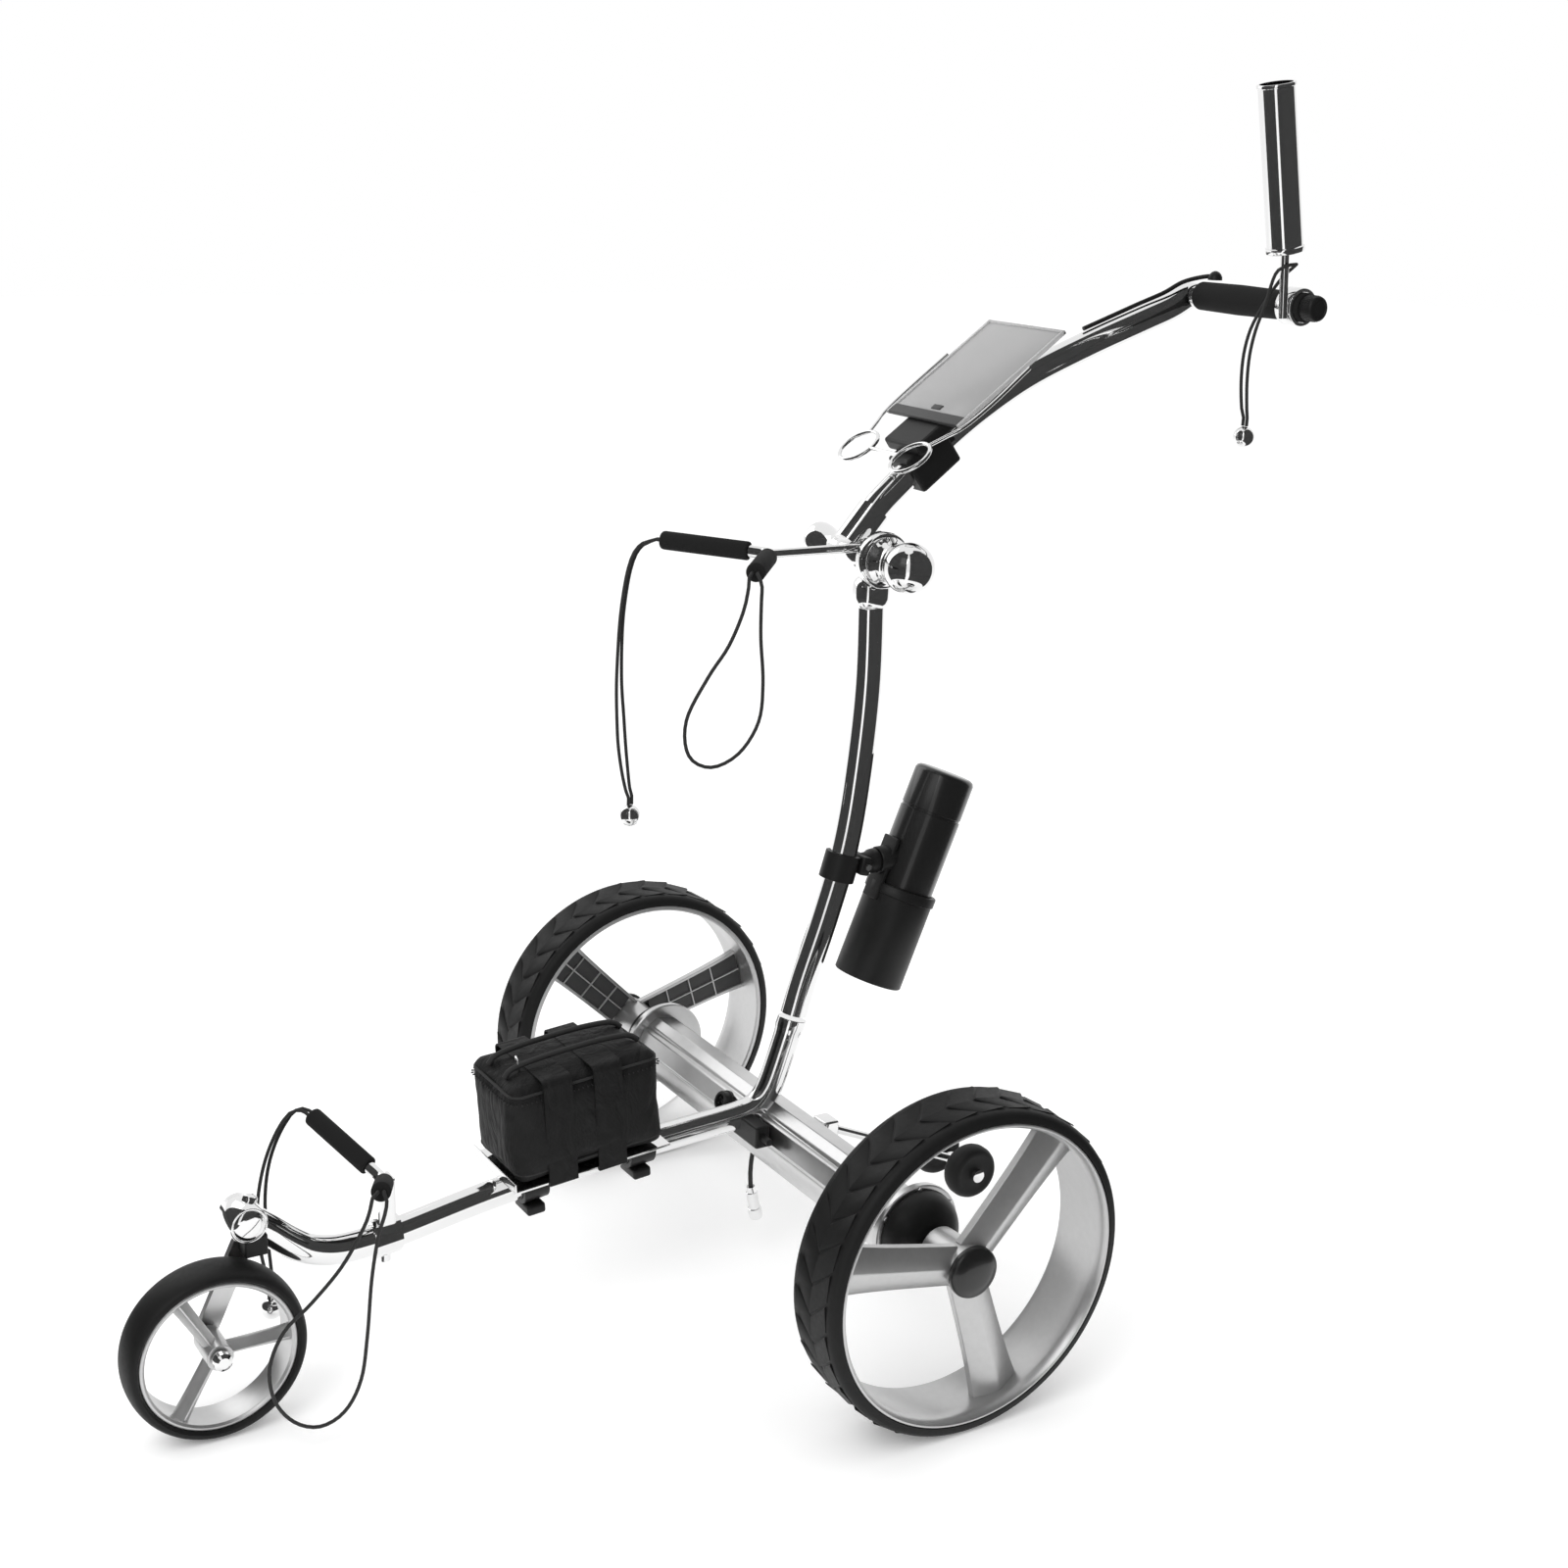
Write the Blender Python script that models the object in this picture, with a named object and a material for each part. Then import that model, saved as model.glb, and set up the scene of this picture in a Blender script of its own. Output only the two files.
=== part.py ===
"""Three-wheeled electric golf trolley: steel frame, driven rear wheels, battery bag, handle accessories.

Metres, +Z up. The front of the trolley points to -Y and its left side to +X. The wheels stand on z = 0.
"""

from math import atan2, cos, hypot, pi, radians, sin

import bmesh
import bpy
from mathutils import Matrix, Vector

# Driving dimensions, in metres.
GAP = 0.0003
WHEEL_RADIUS = 0.150
TYRE_WIDTH = 0.065
TYRE_DEPTH = 0.0105
WHEEL_CENTRE_X = 0.298
RIM_WALL = 0.004
SPOKE_WIDTH = 0.042
SPOKE_TURN = {"left": 48, "right": 16}
HUB_RADIUS = 0.021
AXLE_RADIUS = 0.0062
HOUSING_INSET = 0.070
HOUSING_HALF_LENGTH = WHEEL_CENTRE_X - HOUSING_INSET
GEARBOX_RADIUS = 0.043
FRONT_RADIUS = 0.078
FRONT_WIDTH = 0.040
FRONT_TYRE_DEPTH = 0.0105
FRONT_AXLE_Y = -0.563
FRONT_WHEEL_X = 0.018
FRONT_AXLE_RADIUS = 0.0045
TUBE_WIDE = 0.024
TUBE_DEEP = 0.027
HEAD_RADIUS = 0.0165
HEAD_HALF_LENGTH = 0.0165
COLLAR_HEIGHT = 0.264
ARM_RADIUS = 0.0055
ARM_REACH = 0.080
PAD_WALL = 0.0027
FOLD_BARREL_RADIUS = 0.0145
FOLD_FLANGE_RADIUS = 0.026
FOLD_BOLT_RADIUS = 0.0042
KNOB_RADIUS = 0.0235
HANDLE_X = -0.022
GRIP_RADIUS = 0.0135
GRIP_CORE_RADIUS = 0.008
GRIP_END_X = 0.139
DIAL_LENGTH = 0.0155
UMBRELLA_X = 0.128
UMBRELLA_RADIUS = 0.0165
UMBRELLA_WALL = 0.0015
UMBRELLA_LENGTH = 0.149
CARD_WIDTH = 0.117
CARD_LENGTH = 0.142
CARD_THICKNESS = 0.004
CARD_TILT = radians(35.8)
RING_RADIUS = 0.020
WIRE_RADIUS = 0.002
BOTTLE_RADIUS = 0.0300
BOTTLE_LENGTH = 0.211
CUP_WALL = 0.0030
CUP_HEIGHT = 0.095
BAG_WIDTH = 0.098
BAG_LENGTH = 0.151
BAG_HEIGHT = 0.098
TRAY_THICKNESS = 0.0025
STRAP_WIDTH = 0.028
STRAP_THICKNESS = 0.0018
CASTER_RADIUS = 0.027
CASTER_WIDTH = 0.022
CASTER_SPREAD = 0.030
ANTI_TIP_X = 0.030
CORD_DIAMETER = 0.0032
CABLE_DIAMETER = 0.0045
BALL_RADIUS = 0.0100
STRAND_SPLIT = 0.0025
PAD_CAP = 0.0035
CLAMP_WALL = 0.0040
CLAMP_RADIUS = GRIP_RADIUS + CLAMP_WALL
DIAL_RADIUS = GRIP_RADIUS - 0.0017

# Fixed places. The rear axle is drawn at AXLE_HEIGHT, and the ground lies where the wheels reach.
AXLE_HEIGHT = 0.150
GROUND = AXLE_HEIGHT - WHEEL_RADIUS
AXLE = Vector((0, 0, AXLE_HEIGHT))
HEAD = Vector((0, -0.528, 0.182))
FRONT_AXLE = Vector((FRONT_WHEEL_X, FRONT_AXLE_Y, GROUND + FRONT_RADIUS))
FOLD = Vector((0, 0.080, 0.703))
GRIP = Vector((HANDLE_X, 0.4553, 0.9337))
CARD = Vector((HANDLE_X, 0.142, 0.824))
LOWER_ELBOW = Vector((0, -0.402, 0.187))
LOWER_TIP = Vector((ARM_REACH, -0.436, 0.221))
UPPER_ELBOW = Vector((0.003, -0.031, 0.714))
UPPER_TIP = Vector((ARM_REACH, -0.092, 0.716))
BOTTLE_FOOT = Vector((0, 0.096, 0.288))
BOTTLE_AXIS = Vector((0, 0.377, 0.926)).normalized()
SWIVEL_HEIGHT = 0.408
BAG_FOOT = Vector((0, -0.2215, 0.1650 + TUBE_DEEP / 2))
BAG_SLOPE = radians(5.0)
CASTER_AXLE = Vector((ANTI_TIP_X, 0.189, 0.087))

# Centre line of the frame tube in the plane x = 0, from the head to the fold joint, as (y, z).
FRAME_LINE = (
    (-0.528, 0.1835), (-0.510, 0.169), (-0.489, 0.1505), (-0.472, 0.139), (-0.450, 0.1325),
    (-0.424, 0.132), (-0.387, 0.136), (-0.303, 0.150), (-0.203, 0.162), (-0.110, 0.1685),
    (-0.062, 0.1715), (-0.040, 0.174), (-0.024, 0.180), (-0.013, 0.193), (-0.004, 0.215), (0.0115, 0.262),
    (0.0225, 0.299), (0.044, 0.360), (0.062, 0.421), (0.073, 0.487), (0.081, 0.581), (0.080, 0.682),
)
# Centre line of the handle tube in its own plane, as (y, z).
HANDLE_LINE = (
    (0.068, 0.712), (0.094, 0.742), (0.116, 0.762), (0.162, 0.799), (0.207, 0.830),
    (0.262, 0.860), (0.331, 0.887), (0.395, 0.909), (0.430, 0.921), (0.4515, 0.9315),
)
# Outline of the axle housing about the wheel axis, as (y, z).
HOUSING_OUTLINE = (
    (0.022, 0.016), (0.008, 0.029), (-0.010, 0.032), (-0.027, 0.022), (-0.0335, 0.006), (-0.031, -0.012),
    (-0.021, -0.029), (-0.004, -0.034), (0.014, -0.030), (0.025, -0.014), (0.027, 0.002),
)

# Free stretches of the cords, hand-laid. Their ends run straight out of the pads and into the balls.
LOWER_LOOP = (
    (0.0905, -0.4475, 0.2225), (0.0912, -0.4500, 0.2130), (0.0890, -0.4555, 0.1960),
    (0.0862, -0.4740, 0.1640), (0.0850, -0.5000, 0.1370), (0.0850, -0.5240, 0.1170),
    (0.0850, -0.5370, 0.0880), (0.0850, -0.5340, 0.0560), (0.0850, -0.5180, 0.0310),
    (0.0850, -0.4960, 0.0200), (0.0850, -0.4740, 0.0280), (0.0850, -0.4590, 0.0540),
    (0.0850, -0.4525, 0.0950), (0.0868, -0.4485, 0.1450), (0.0905, -0.4435, 0.1850),
    (0.0940, -0.4385, 0.2070), (0.0938, -0.4365, 0.2185),
)
UPPER_LOOP = (
    (0.0893, -0.1040, 0.7135), (0.0905, -0.1050, 0.7060), (0.0895, -0.1090, 0.6850),
    (0.0865, -0.1205, 0.6560), (0.0855, -0.1395, 0.6300), (0.0850, -0.1590, 0.5950),
    (0.0850, -0.1560, 0.5640), (0.0850, -0.1340, 0.5510), (0.0850, -0.1070, 0.5600),
    (0.0850, -0.0880, 0.5860), (0.0855, -0.0850, 0.6200), (0.0880, -0.0900, 0.6600),
    (0.0920, -0.0930, 0.6900), (0.0940, -0.0940, 0.7060), (0.0930, -0.0955, 0.7130),
)
# Middle of a pair of strands from an arm's tip down to its ball, with half the distance between the strands.
LOWER_PAIR = (
    (-0.0915, -0.4430, 0.2255, 0.0021), (-0.0932, -0.4480, 0.2250, 0.0020),
    (-0.0932, -0.4535, 0.2225, 0.0020), (-0.0918, -0.4590, 0.2175, 0.0021),
    (-0.0895, -0.4655, 0.2100, 0.0023), (-0.0870, -0.4720, 0.2000, 0.0025),
    (-0.0845, -0.4780, 0.1875, 0.0028), (-0.0820, -0.4830, 0.1720, 0.0034),
    (-0.0795, -0.4865, 0.1540, 0.0042), (-0.0775, -0.4880, 0.1340, 0.0050),
    (-0.0758, -0.4870, 0.1100, 0.0048), (-0.0748, -0.4845, 0.0860, 0.0036),
)
UPPER_PAIR = (
    (-0.0900, -0.1020, 0.7142, 0.0020), (-0.0922, -0.1085, 0.7115, 0.0019),
    (-0.0925, -0.1160, 0.7040, 0.0019), (-0.0910, -0.1225, 0.6900, 0.0019),
    (-0.0885, -0.1280, 0.6700, 0.0020), (-0.0860, -0.1325, 0.6450, 0.0022),
    (-0.0840, -0.1350, 0.6150, 0.0028), (-0.0825, -0.1360, 0.5850, 0.0038),
    (-0.0812, -0.1350, 0.5550, 0.0050), (-0.0805, -0.1335, 0.5300, 0.0053),
    (-0.0800, -0.1305, 0.5050, 0.0044), (-0.0797, -0.1272, 0.4860, 0.0030),
)
UMBRELLA_CORD = (
    (0.1165, 0.4135, 0.8400), (0.1172, 0.4100, 0.8650), (0.1175, 0.4100, 0.8900),
    (0.1175, 0.4145, 0.9120), (0.1175, 0.4215, 0.9300), (0.1185, 0.4255, 0.9450),
    (0.1215, 0.4265, 0.9580), (0.1285, 0.4255, 0.9670), (0.1364, 0.4315, 0.9720),
    (0.1352, 0.4405, 0.9725), (0.1275, 0.4432, 0.9685), (0.1195, 0.4400, 0.9600),
    (0.1140, 0.4330, 0.9460), (0.1105, 0.4250, 0.9300), (0.1090, 0.4160, 0.9120),
    (0.1085, 0.4110, 0.8900), (0.1088, 0.4105, 0.8650), (0.1095, 0.4135, 0.8400),
)
CABLE_ROUTE = (
    (-0.0200, -0.0160, 0.1180), (-0.0205, -0.0170, 0.1080), (-0.0205, -0.0175, 0.0960), (-0.0200, -0.0170, 0.0825),
)
LOWER_BALL = Vector((-0.0745, -0.4825, 0.0465))
UPPER_BALL = Vector((-0.0795, -0.1247, 0.4605))
UMBRELLA_BALL = Vector((0.1130, 0.4160, 0.8135))

COLOURS = {
    "chrome": ((0.78, 0.78, 0.79), 1.0, 0.08),
    "satin_silver": ((0.56, 0.56, 0.58), 0.9, 0.38),
    "rim_silver": ((0.50, 0.50, 0.53), 0.7, 0.42),
    "tyre_rubber": ((0.018, 0.018, 0.019), 0.0, 0.72),
    "black_plastic": ((0.022, 0.022, 0.024), 0.0, 0.45),
    "gloss_black": ((0.014, 0.014, 0.015), 0.0, 0.22),
    "foam_black": ((0.026, 0.026, 0.027), 0.0, 0.85),
    "nylon_black": ((0.012, 0.012, 0.013), 0.0, 0.80),
    "cord_black": ((0.015, 0.015, 0.016), 0.0, 0.75),
    "clear_grey": ((0.62, 0.62, 0.64), 0.0, 0.25),
}


def clear_scene():
    for obj in list(bpy.data.objects):
        bpy.data.objects.remove(obj)


def material_of(name):
    colour, metallic, roughness = COLOURS[name]
    made = bpy.data.materials.new(name)
    made.use_nodes = True
    shader = made.node_tree.nodes["Principled BSDF"]
    shader.inputs["Base Color"].default_value = (*colour, 1)
    shader.inputs["Metallic"].default_value = metallic
    shader.inputs["Roughness"].default_value = roughness
    return made


def object_of(name, bm, look=None, origin=(0, 0, 0)):
    """An object with this mesh, its origin at the given point and its own material."""
    bmesh.ops.recalc_face_normals(bm, faces=bm.faces)
    bmesh.ops.translate(bm, verts=bm.verts, vec=-Vector(origin))
    mesh = bpy.data.meshes.new(name)
    bm.to_mesh(mesh)
    bm.free()
    mesh.shade_smooth()
    mesh.set_sharp_from_angle(angle=radians(35))
    made = bpy.data.objects.new(name, mesh)
    made.location = origin
    bpy.context.scene.collection.objects.link(made)
    if look:
        made.data.materials.append(material_of(look))
    return made


def body(name, solids, look, origin=(0, 0, 0), cuts=()):
    """One object made of solids joined together, with the cuts taken out of them."""
    made = object_of(name, solids[0], look, origin)
    for kind, shapes in (("UNION", solids[1:]), ("DIFFERENCE", cuts)):
        for number, shape in enumerate(shapes):
            helper = object_of(f"{name}_{kind.lower()}_{number}", shape)
            helper.hide_render = True
            helper.display_type = "WIRE"
            modifier = made.modifiers.new(f"{kind.lower()} {number}", "BOOLEAN")
            modifier.operation = kind
            modifier.solver = "EXACT"
            modifier.object = helper
    return made


def turned(profile, centre, direction, steps=32):
    """A turned solid. The profile holds (along, radius) pairs, closed on itself or ending on the axis."""
    bm = bmesh.new()
    points = [bm.verts.new((radius, 0, along)) for along, radius in profile]
    edges = [bm.edges.new(pair) for pair in zip(points, points[1:])]
    if profile[0][1] > 0 or profile[-1][1] > 0:
        edges.append(bm.edges.new((points[-1], points[0])))
    bmesh.ops.spin(
        bm, geom=points + edges, cent=(0, 0, 0), axis=(0, 0, 1), angle=2 * pi, steps=steps, use_merge=True
    )
    bmesh.ops.remove_doubles(bm, verts=bm.verts, dist=0.00001)
    turn = Vector((0, 0, 1)).rotation_difference(Vector(direction).normalized()).to_matrix().to_4x4()
    bmesh.ops.transform(bm, matrix=Matrix.Translation(Vector(centre)) @ turn, verts=bm.verts)
    return bm


def rod(start, end, radius, steps=16):
    start = Vector(start)
    end = Vector(end)
    length = (end - start).length
    return turned(((0, 0), (0, radius), (length, radius), (length, 0)), start, end - start, steps)


def bolt_bore():
    """The bore for the fold bolt, with clearance."""
    start = (-0.06, FOLD.y, FOLD.z)
    end = (0.09, FOLD.y, FOLD.z)
    return rod(start, end, FOLD_BOLT_RADIUS + GAP, 20)


def ball(centre, radius, steps=16, rows=8):
    profile = [(-radius * cos(pi * i / rows), radius * sin(pi * i / rows)) for i in range(rows + 1)]
    profile[0] = (-radius, 0)
    profile[-1] = (radius, 0)
    return turned(profile, centre, (0, 0, 1), steps)


def block(size, centre, tilt=0.0, edge=0.0):
    """A box turned about X by tilt, with bevelled edges."""
    bm = bmesh.new()
    bmesh.ops.create_cube(bm, size=1)
    bmesh.ops.scale(bm, vec=size, verts=bm.verts)
    if edge:
        bmesh.ops.bevel(bm, geom=bm.edges, offset=edge, segments=2, profile=0.5, affect="EDGES")
    place = Matrix.Translation(Vector(centre)) @ Matrix.Rotation(tilt, 4, "X")
    bmesh.ops.transform(bm, matrix=place, verts=bm.verts)
    return bm


def plate(outline, x0, x1):
    """An outline of (y, z) points drawn out along X from x0 to x1."""
    bm = bmesh.new()
    face = bm.faces.new([bm.verts.new((x0, y, z)) for y, z in outline])
    grown = bmesh.ops.extrude_face_region(bm, geom=[face])
    moved = [v for v in grown["geom"] if isinstance(v, bmesh.types.BMVert)]
    bmesh.ops.translate(bm, verts=moved, vec=(x1 - x0, 0, 0))
    return bm


def smooth_route(points, step):
    """Points about one step apart on a smooth curve through the given points."""
    points = [Vector(p) for p in points]
    line = [2 * points[0] - points[1], *points, 2 * points[-1] - points[-2]]
    found = [points[0]]
    for a, b, c, d in zip(line, line[1:], line[2:], line[3:]):
        count = max(1, round((c - b).length / step))
        for i in range(1, count + 1):
            t = i / count
            bend = (2 * a - 5 * b + 4 * c - d) * t**2 + (3 * b - a - 3 * c + d) * t**3
            found.append(0.5 * (2 * b + (c - a) * t + bend))
    return found


def plane_route(line, x, step):
    return smooth_route([(x, y, z) for y, z in line], step)


def swept(route, wide, deep, sides=12, scales=None):
    """A solid tube along a route in a plane of constant x: an ellipse, wide across X and deep in that plane."""
    bm = bmesh.new()
    rings = []
    for i, point in enumerate(route):
        along = (route[min(i + 1, len(route) - 1)] - route[max(i - 1, 0)]).normalized()
        across = Vector((1, 0, 0))
        up = along.cross(across).normalized()
        size = scales[i] if scales else 1
        rings.append(
            [
                bm.verts.new(
                    point
                    + across * (size * wide / 2 * cos(2 * pi * k / sides))
                    + up * (size * deep / 2 * sin(2 * pi * k / sides))
                )
                for k in range(sides)
            ]
        )
    for first, second in zip(rings, rings[1:]):
        for k in range(sides):
            following = (k + 1) % sides
            bm.faces.new((first[k], first[following], second[following], second[k]))
    bm.faces.new(rings[0])
    bm.faces.new(rings[-1][::-1])
    return bm


def bent_rod(route, radius, sides=10):
    """A round rod along any route that doesn't double back."""
    bm = bmesh.new()
    rings = []
    side = None
    for i, point in enumerate(route):
        along = (route[min(i + 1, len(route) - 1)] - route[max(i - 1, 0)]).normalized()
        if side is None:
            side = along.orthogonal().normalized()
        side = (side - along * side.dot(along)).normalized()
        up = along.cross(side)
        turns = [2 * pi * k / sides for k in range(sides)]
        rings.append([bm.verts.new(point + radius * (side * cos(t) + up * sin(t))) for t in turns])
    for first, second in zip(rings, rings[1:]):
        for k in range(sides):
            following = (k + 1) % sides
            bm.faces.new((first[k], first[following], second[following], second[k]))
    bm.faces.new(rings[0])
    bm.faces.new(rings[-1][::-1])
    return bm


def cord(name, points, diameter, origin, step=3.0):
    """A cord as a curve with a round bevel and filled caps."""
    curve = bpy.data.curves.new(name, "CURVE")
    curve.dimensions = "3D"
    curve.bevel_depth = diameter / 2
    curve.bevel_resolution = 2
    curve.use_fill_caps = True
    spline = curve.splines.new("POLY")
    route = smooth_route(points, step * diameter)
    spline.points.add(len(route) - 1)
    for point, place in zip(spline.points, route):
        point.co = (*(place - Vector(origin)), 1)
    made = bpy.data.objects.new(name, curve)
    made.location = origin
    bpy.context.scene.collection.objects.link(made)
    made.data.materials.append(material_of("cord_black"))
    return made


def cord_pair(name, line, origin):
    """Two strands beside one another, spread to either side across the direction in which they hang."""
    for letter, side in (("a", -1), ("b", 1)):
        strand = []
        for i, (x, y, z, half_gap) in enumerate(line):
            ahead = Vector(line[min(i + 1, len(line) - 1)][:3])
            behind = Vector(line[max(i - 1, 0)][:3])
            along = (ahead - behind).normalized()
            across = Vector((-0.40, 0.91, 0))
            across = (across - along * across.dot(along)).normalized()
            strand.append(Vector((x, y, z)) + across * (side * half_gap))
        cord(f"{name}_{letter}", strand, CORD_DIAMETER, origin)


def make_rear_wheel(side, sign):
    """Rim, tyre and hub cap of one rear wheel. Its profiles run outwards from the wheel's middle plane."""
    centre = AXLE + Vector((sign * WHEEL_CENTRE_X, 0, 0))
    out = Vector((sign, 0, 0))
    half = TYRE_WIDTH / 2
    seat = WHEEL_RADIUS - TYRE_DEPTH
    rim_outer = seat - GAP
    rim_inner = rim_outer - RIM_WALL
    tread = (
        (-half, seat), (-half, WHEEL_RADIUS - 0.0050), (-half + 0.0055, WHEEL_RADIUS),
        (half - 0.0055, WHEEL_RADIUS), (half, WHEEL_RADIUS - 0.0050), (half, seat),
    )
    object_of(f"rear_tyre_{side}", turned(tread, centre, out, 40), "tyre_rubber", centre)
    barrel = (
        (-half + 0.001, rim_outer), (half - 0.001, rim_outer), (half, rim_outer - 0.0015),
        (half - 0.001, rim_inner), (-half + 0.001, rim_inner),
    )
    hub_end = 0.0170
    roof = 0.0165
    solids = [turned(barrel, centre, out, 40)]
    solids.append(rod(centre - out * (half - 0.0025), centre + out * hub_end, HUB_RADIUS, 20))
    pockets = []
    for third in range(3):
        angle = radians(SPOKE_TURN[side] + 120 * third)
        radial = Vector((0, cos(angle), sin(angle)))
        tangent = Vector((0, -sin(angle), cos(angle)))
        solids.append(spoke(centre, out, radial, tangent, SPOKE_WIDTH, rim_inner + RIM_WALL / 2, roof))
        inner_width = SPOKE_WIDTH - 0.010
        pockets.append(pocket(centre, out, radial, tangent, inner_width, HUB_RADIUS + 0.012, rim_inner - 0.014))
    bore = rod(centre - out * half, centre + out * half, AXLE_RADIUS + GAP, 16)
    body(f"rear_rim_{side}", solids, "rim_silver", centre, [bore, *pockets])
    cap = (
        (hub_end + GAP, 0), (hub_end + GAP, 0.0235), (hub_end + 0.007, 0.0230), (hub_end + 0.0098, 0.0195),
        (hub_end + 0.0110, 0.012), (hub_end + 0.0113, 0),
    )
    object_of(f"hub_cap_{side}", turned(cap, centre, out, 24), "gloss_black", centre)


def spoke(centre, out, radial, tangent, width, reach, roof):
    """A spoke with a ridge on its outer side and a flat inner side."""
    bm = bmesh.new()
    section = ((-0.5, 0.002), (0.5, 0.002), (0.5, roof - 0.008), (0.0, roof), (-0.5, roof - 0.008))
    rings = [
        [bm.verts.new(centre + radial * r + tangent * (t * width * grow) + out * a) for t, a in section]
        for r, grow in ((0.006, 0.86), (reach * 0.45, 0.92), (reach, 1.08))
    ]
    count = len(section)
    for first, second in zip(rings, rings[1:]):
        for k in range(count):
            bm.faces.new((first[k], first[(k + 1) % count], second[(k + 1) % count], second[k]))
    bm.faces.new(rings[0])
    bm.faces.new(rings[-1][::-1])
    return bm


def pocket(centre, out, radial, tangent, width, start, end):
    """The hollow in a spoke's inner side."""
    bm = bmesh.new()
    corners = []
    for r in (start, end):
        for t in (-0.5, 0.5):
            for a in (-0.004, 0.0065):
                corners.append(bm.verts.new(centre + radial * r + tangent * (t * width) + out * a))
    for a, b, c, d in ((0, 1, 3, 2), (4, 6, 7, 5), (0, 4, 5, 1), (2, 3, 7, 6), (0, 2, 6, 4), (1, 5, 7, 3)):
        bm.faces.new((corners[a], corners[b], corners[c], corners[d]))
    return bm


def make_gearbox(side, sign):
    """Flange, domed gear cover and drive axle, seated on the end of the housing."""
    start = HOUSING_HALF_LENGTH + GAP
    profile = (
        (start, 0), (start, GEARBOX_RADIUS), (start + 0.0075, GEARBOX_RADIUS),
        (start + 0.0077, GEARBOX_RADIUS - 0.003), (start + 0.018, GEARBOX_RADIUS - 0.004),
        (start + 0.028, GEARBOX_RADIUS - 0.010),
        (start + 0.034, GEARBOX_RADIUS - 0.021), (start + 0.0345, AXLE_RADIUS),
        (WHEEL_CENTRE_X + 0.0155, AXLE_RADIUS), (WHEEL_CENTRE_X + 0.0155, 0),
    )
    object_of(f"gearbox_{side}", turned(profile, AXLE, (sign, 0, 0), 24), "black_plastic")


def make_front_wheel():
    half = FRONT_WIDTH / 2
    seat = FRONT_RADIUS - FRONT_TYRE_DEPTH
    out = (1, 0, 0)
    tread = [(-half + 0.0030, seat)]
    for i in range(7):
        angle = pi * (1 - i / 6)
        rise = (FRONT_TYRE_DEPTH - 0.0025) * sin(angle) ** 0.7
        tread.append((half * cos(angle), seat + 0.0025 + rise))
    tread.append((half - 0.0030, seat))
    object_of("front_tyre", turned(tread, FRONT_AXLE, out, 32), "tyre_rubber", FRONT_AXLE)
    rim_outer = seat - GAP
    barrel = (
        (-half + 0.0035, rim_outer), (half - 0.0035, rim_outer), (half - 0.0028, rim_outer - 0.0018),
        (half - 0.0038, rim_outer - 0.0035), (-half + 0.0038, rim_outer - 0.0035),
        (-half + 0.0028, rim_outer - 0.0018),
    )
    solids = [turned(barrel, FRONT_AXLE, out, 32)]
    hub_half = half - 0.001
    hub_start = FRONT_AXLE - Vector((hub_half, 0, 0))
    solids.append(rod(hub_start, FRONT_AXLE + Vector((hub_half - 0.001, 0, 0)), 0.0115, 16))
    for third in range(3):
        angle = radians(120 * third)
        radial = Vector((0, cos(angle), sin(angle)))
        tangent = Vector((0, -sin(angle), cos(angle)))
        solids.append(spoke(FRONT_AXLE, Vector(out), radial, tangent, 0.014, rim_outer - 0.002, 0.0125))
    bore = rod(FRONT_AXLE - Vector((half, 0, 0)), FRONT_AXLE + Vector((half, 0, 0)), FRONT_AXLE_RADIUS + GAP, 12)
    body("front_rim", solids, "rim_silver", FRONT_AXLE, [bore])


def stadium(p, q, width, steps=8):
    """Outline of a bar with round ends from p to q, as (y, z)."""
    heading = atan2(q[1] - p[1], q[0] - p[0])
    outline = []
    for centre, start in ((q, heading - pi / 2), (p, heading + pi / 2)):
        for i in range(steps + 1):
            turn = start + pi * i / steps
            outline.append((centre[0] + width / 2 * cos(turn), centre[1] + width / 2 * sin(turn)))
    return outline


def make_fork():
    """Crown under the head, the one leg beside the wheel and the wheel's axle bolt."""
    leg_in = -0.0050
    leg_out = -0.0117
    crown_width = 0.0197
    crown = block((crown_width, 0.020, 0.019), (leg_in + GAP + crown_width / 2, -0.522, 0.1607), edge=0.0015)
    body("fork_crown", [crown], "black_plastic", cuts=[head_clearance(), bar_room()])
    leg = plate(stadium((-0.5275, 0.1545), (FRONT_AXLE.y, FRONT_AXLE.z), 0.018), leg_out, leg_in)
    hole_start = Vector((leg_out - 0.01, FRONT_AXLE.y, FRONT_AXLE.z))
    hole = rod(hole_start, hole_start + Vector((0.025, 0, 0)), FRONT_AXLE_RADIUS + GAP, 20)
    body("fork_leg", [leg], "satin_silver", cuts=[hole, head_clearance(), bar_room()])
    nut = FRONT_WHEEL_X + FRONT_WIDTH / 2
    head = leg_out - GAP
    inside = leg_in + GAP
    hub_face = FRONT_WHEEL_X - FRONT_WIDTH / 2
    profile = (
        (head - 0.005, 0), (head - 0.005, 0.0075), (head, 0.0085), (head, FRONT_AXLE_RADIUS),
        (inside, FRONT_AXLE_RADIUS), (inside, 0.0085), (hub_face, 0.0085), (hub_face, FRONT_AXLE_RADIUS),
        (nut, FRONT_AXLE_RADIUS), (nut, 0.0085), (nut + 0.0065, 0.0080), (nut + 0.0085, 0.0050),
        (nut + 0.0085, 0),
    )
    object_of("front_axle", turned(profile, (0, FRONT_AXLE.y, FRONT_AXLE.z), (1, 0, 0), 20), "chrome")


def frame_route():
    return plane_route(FRAME_LINE, 0, 0.024)


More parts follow.
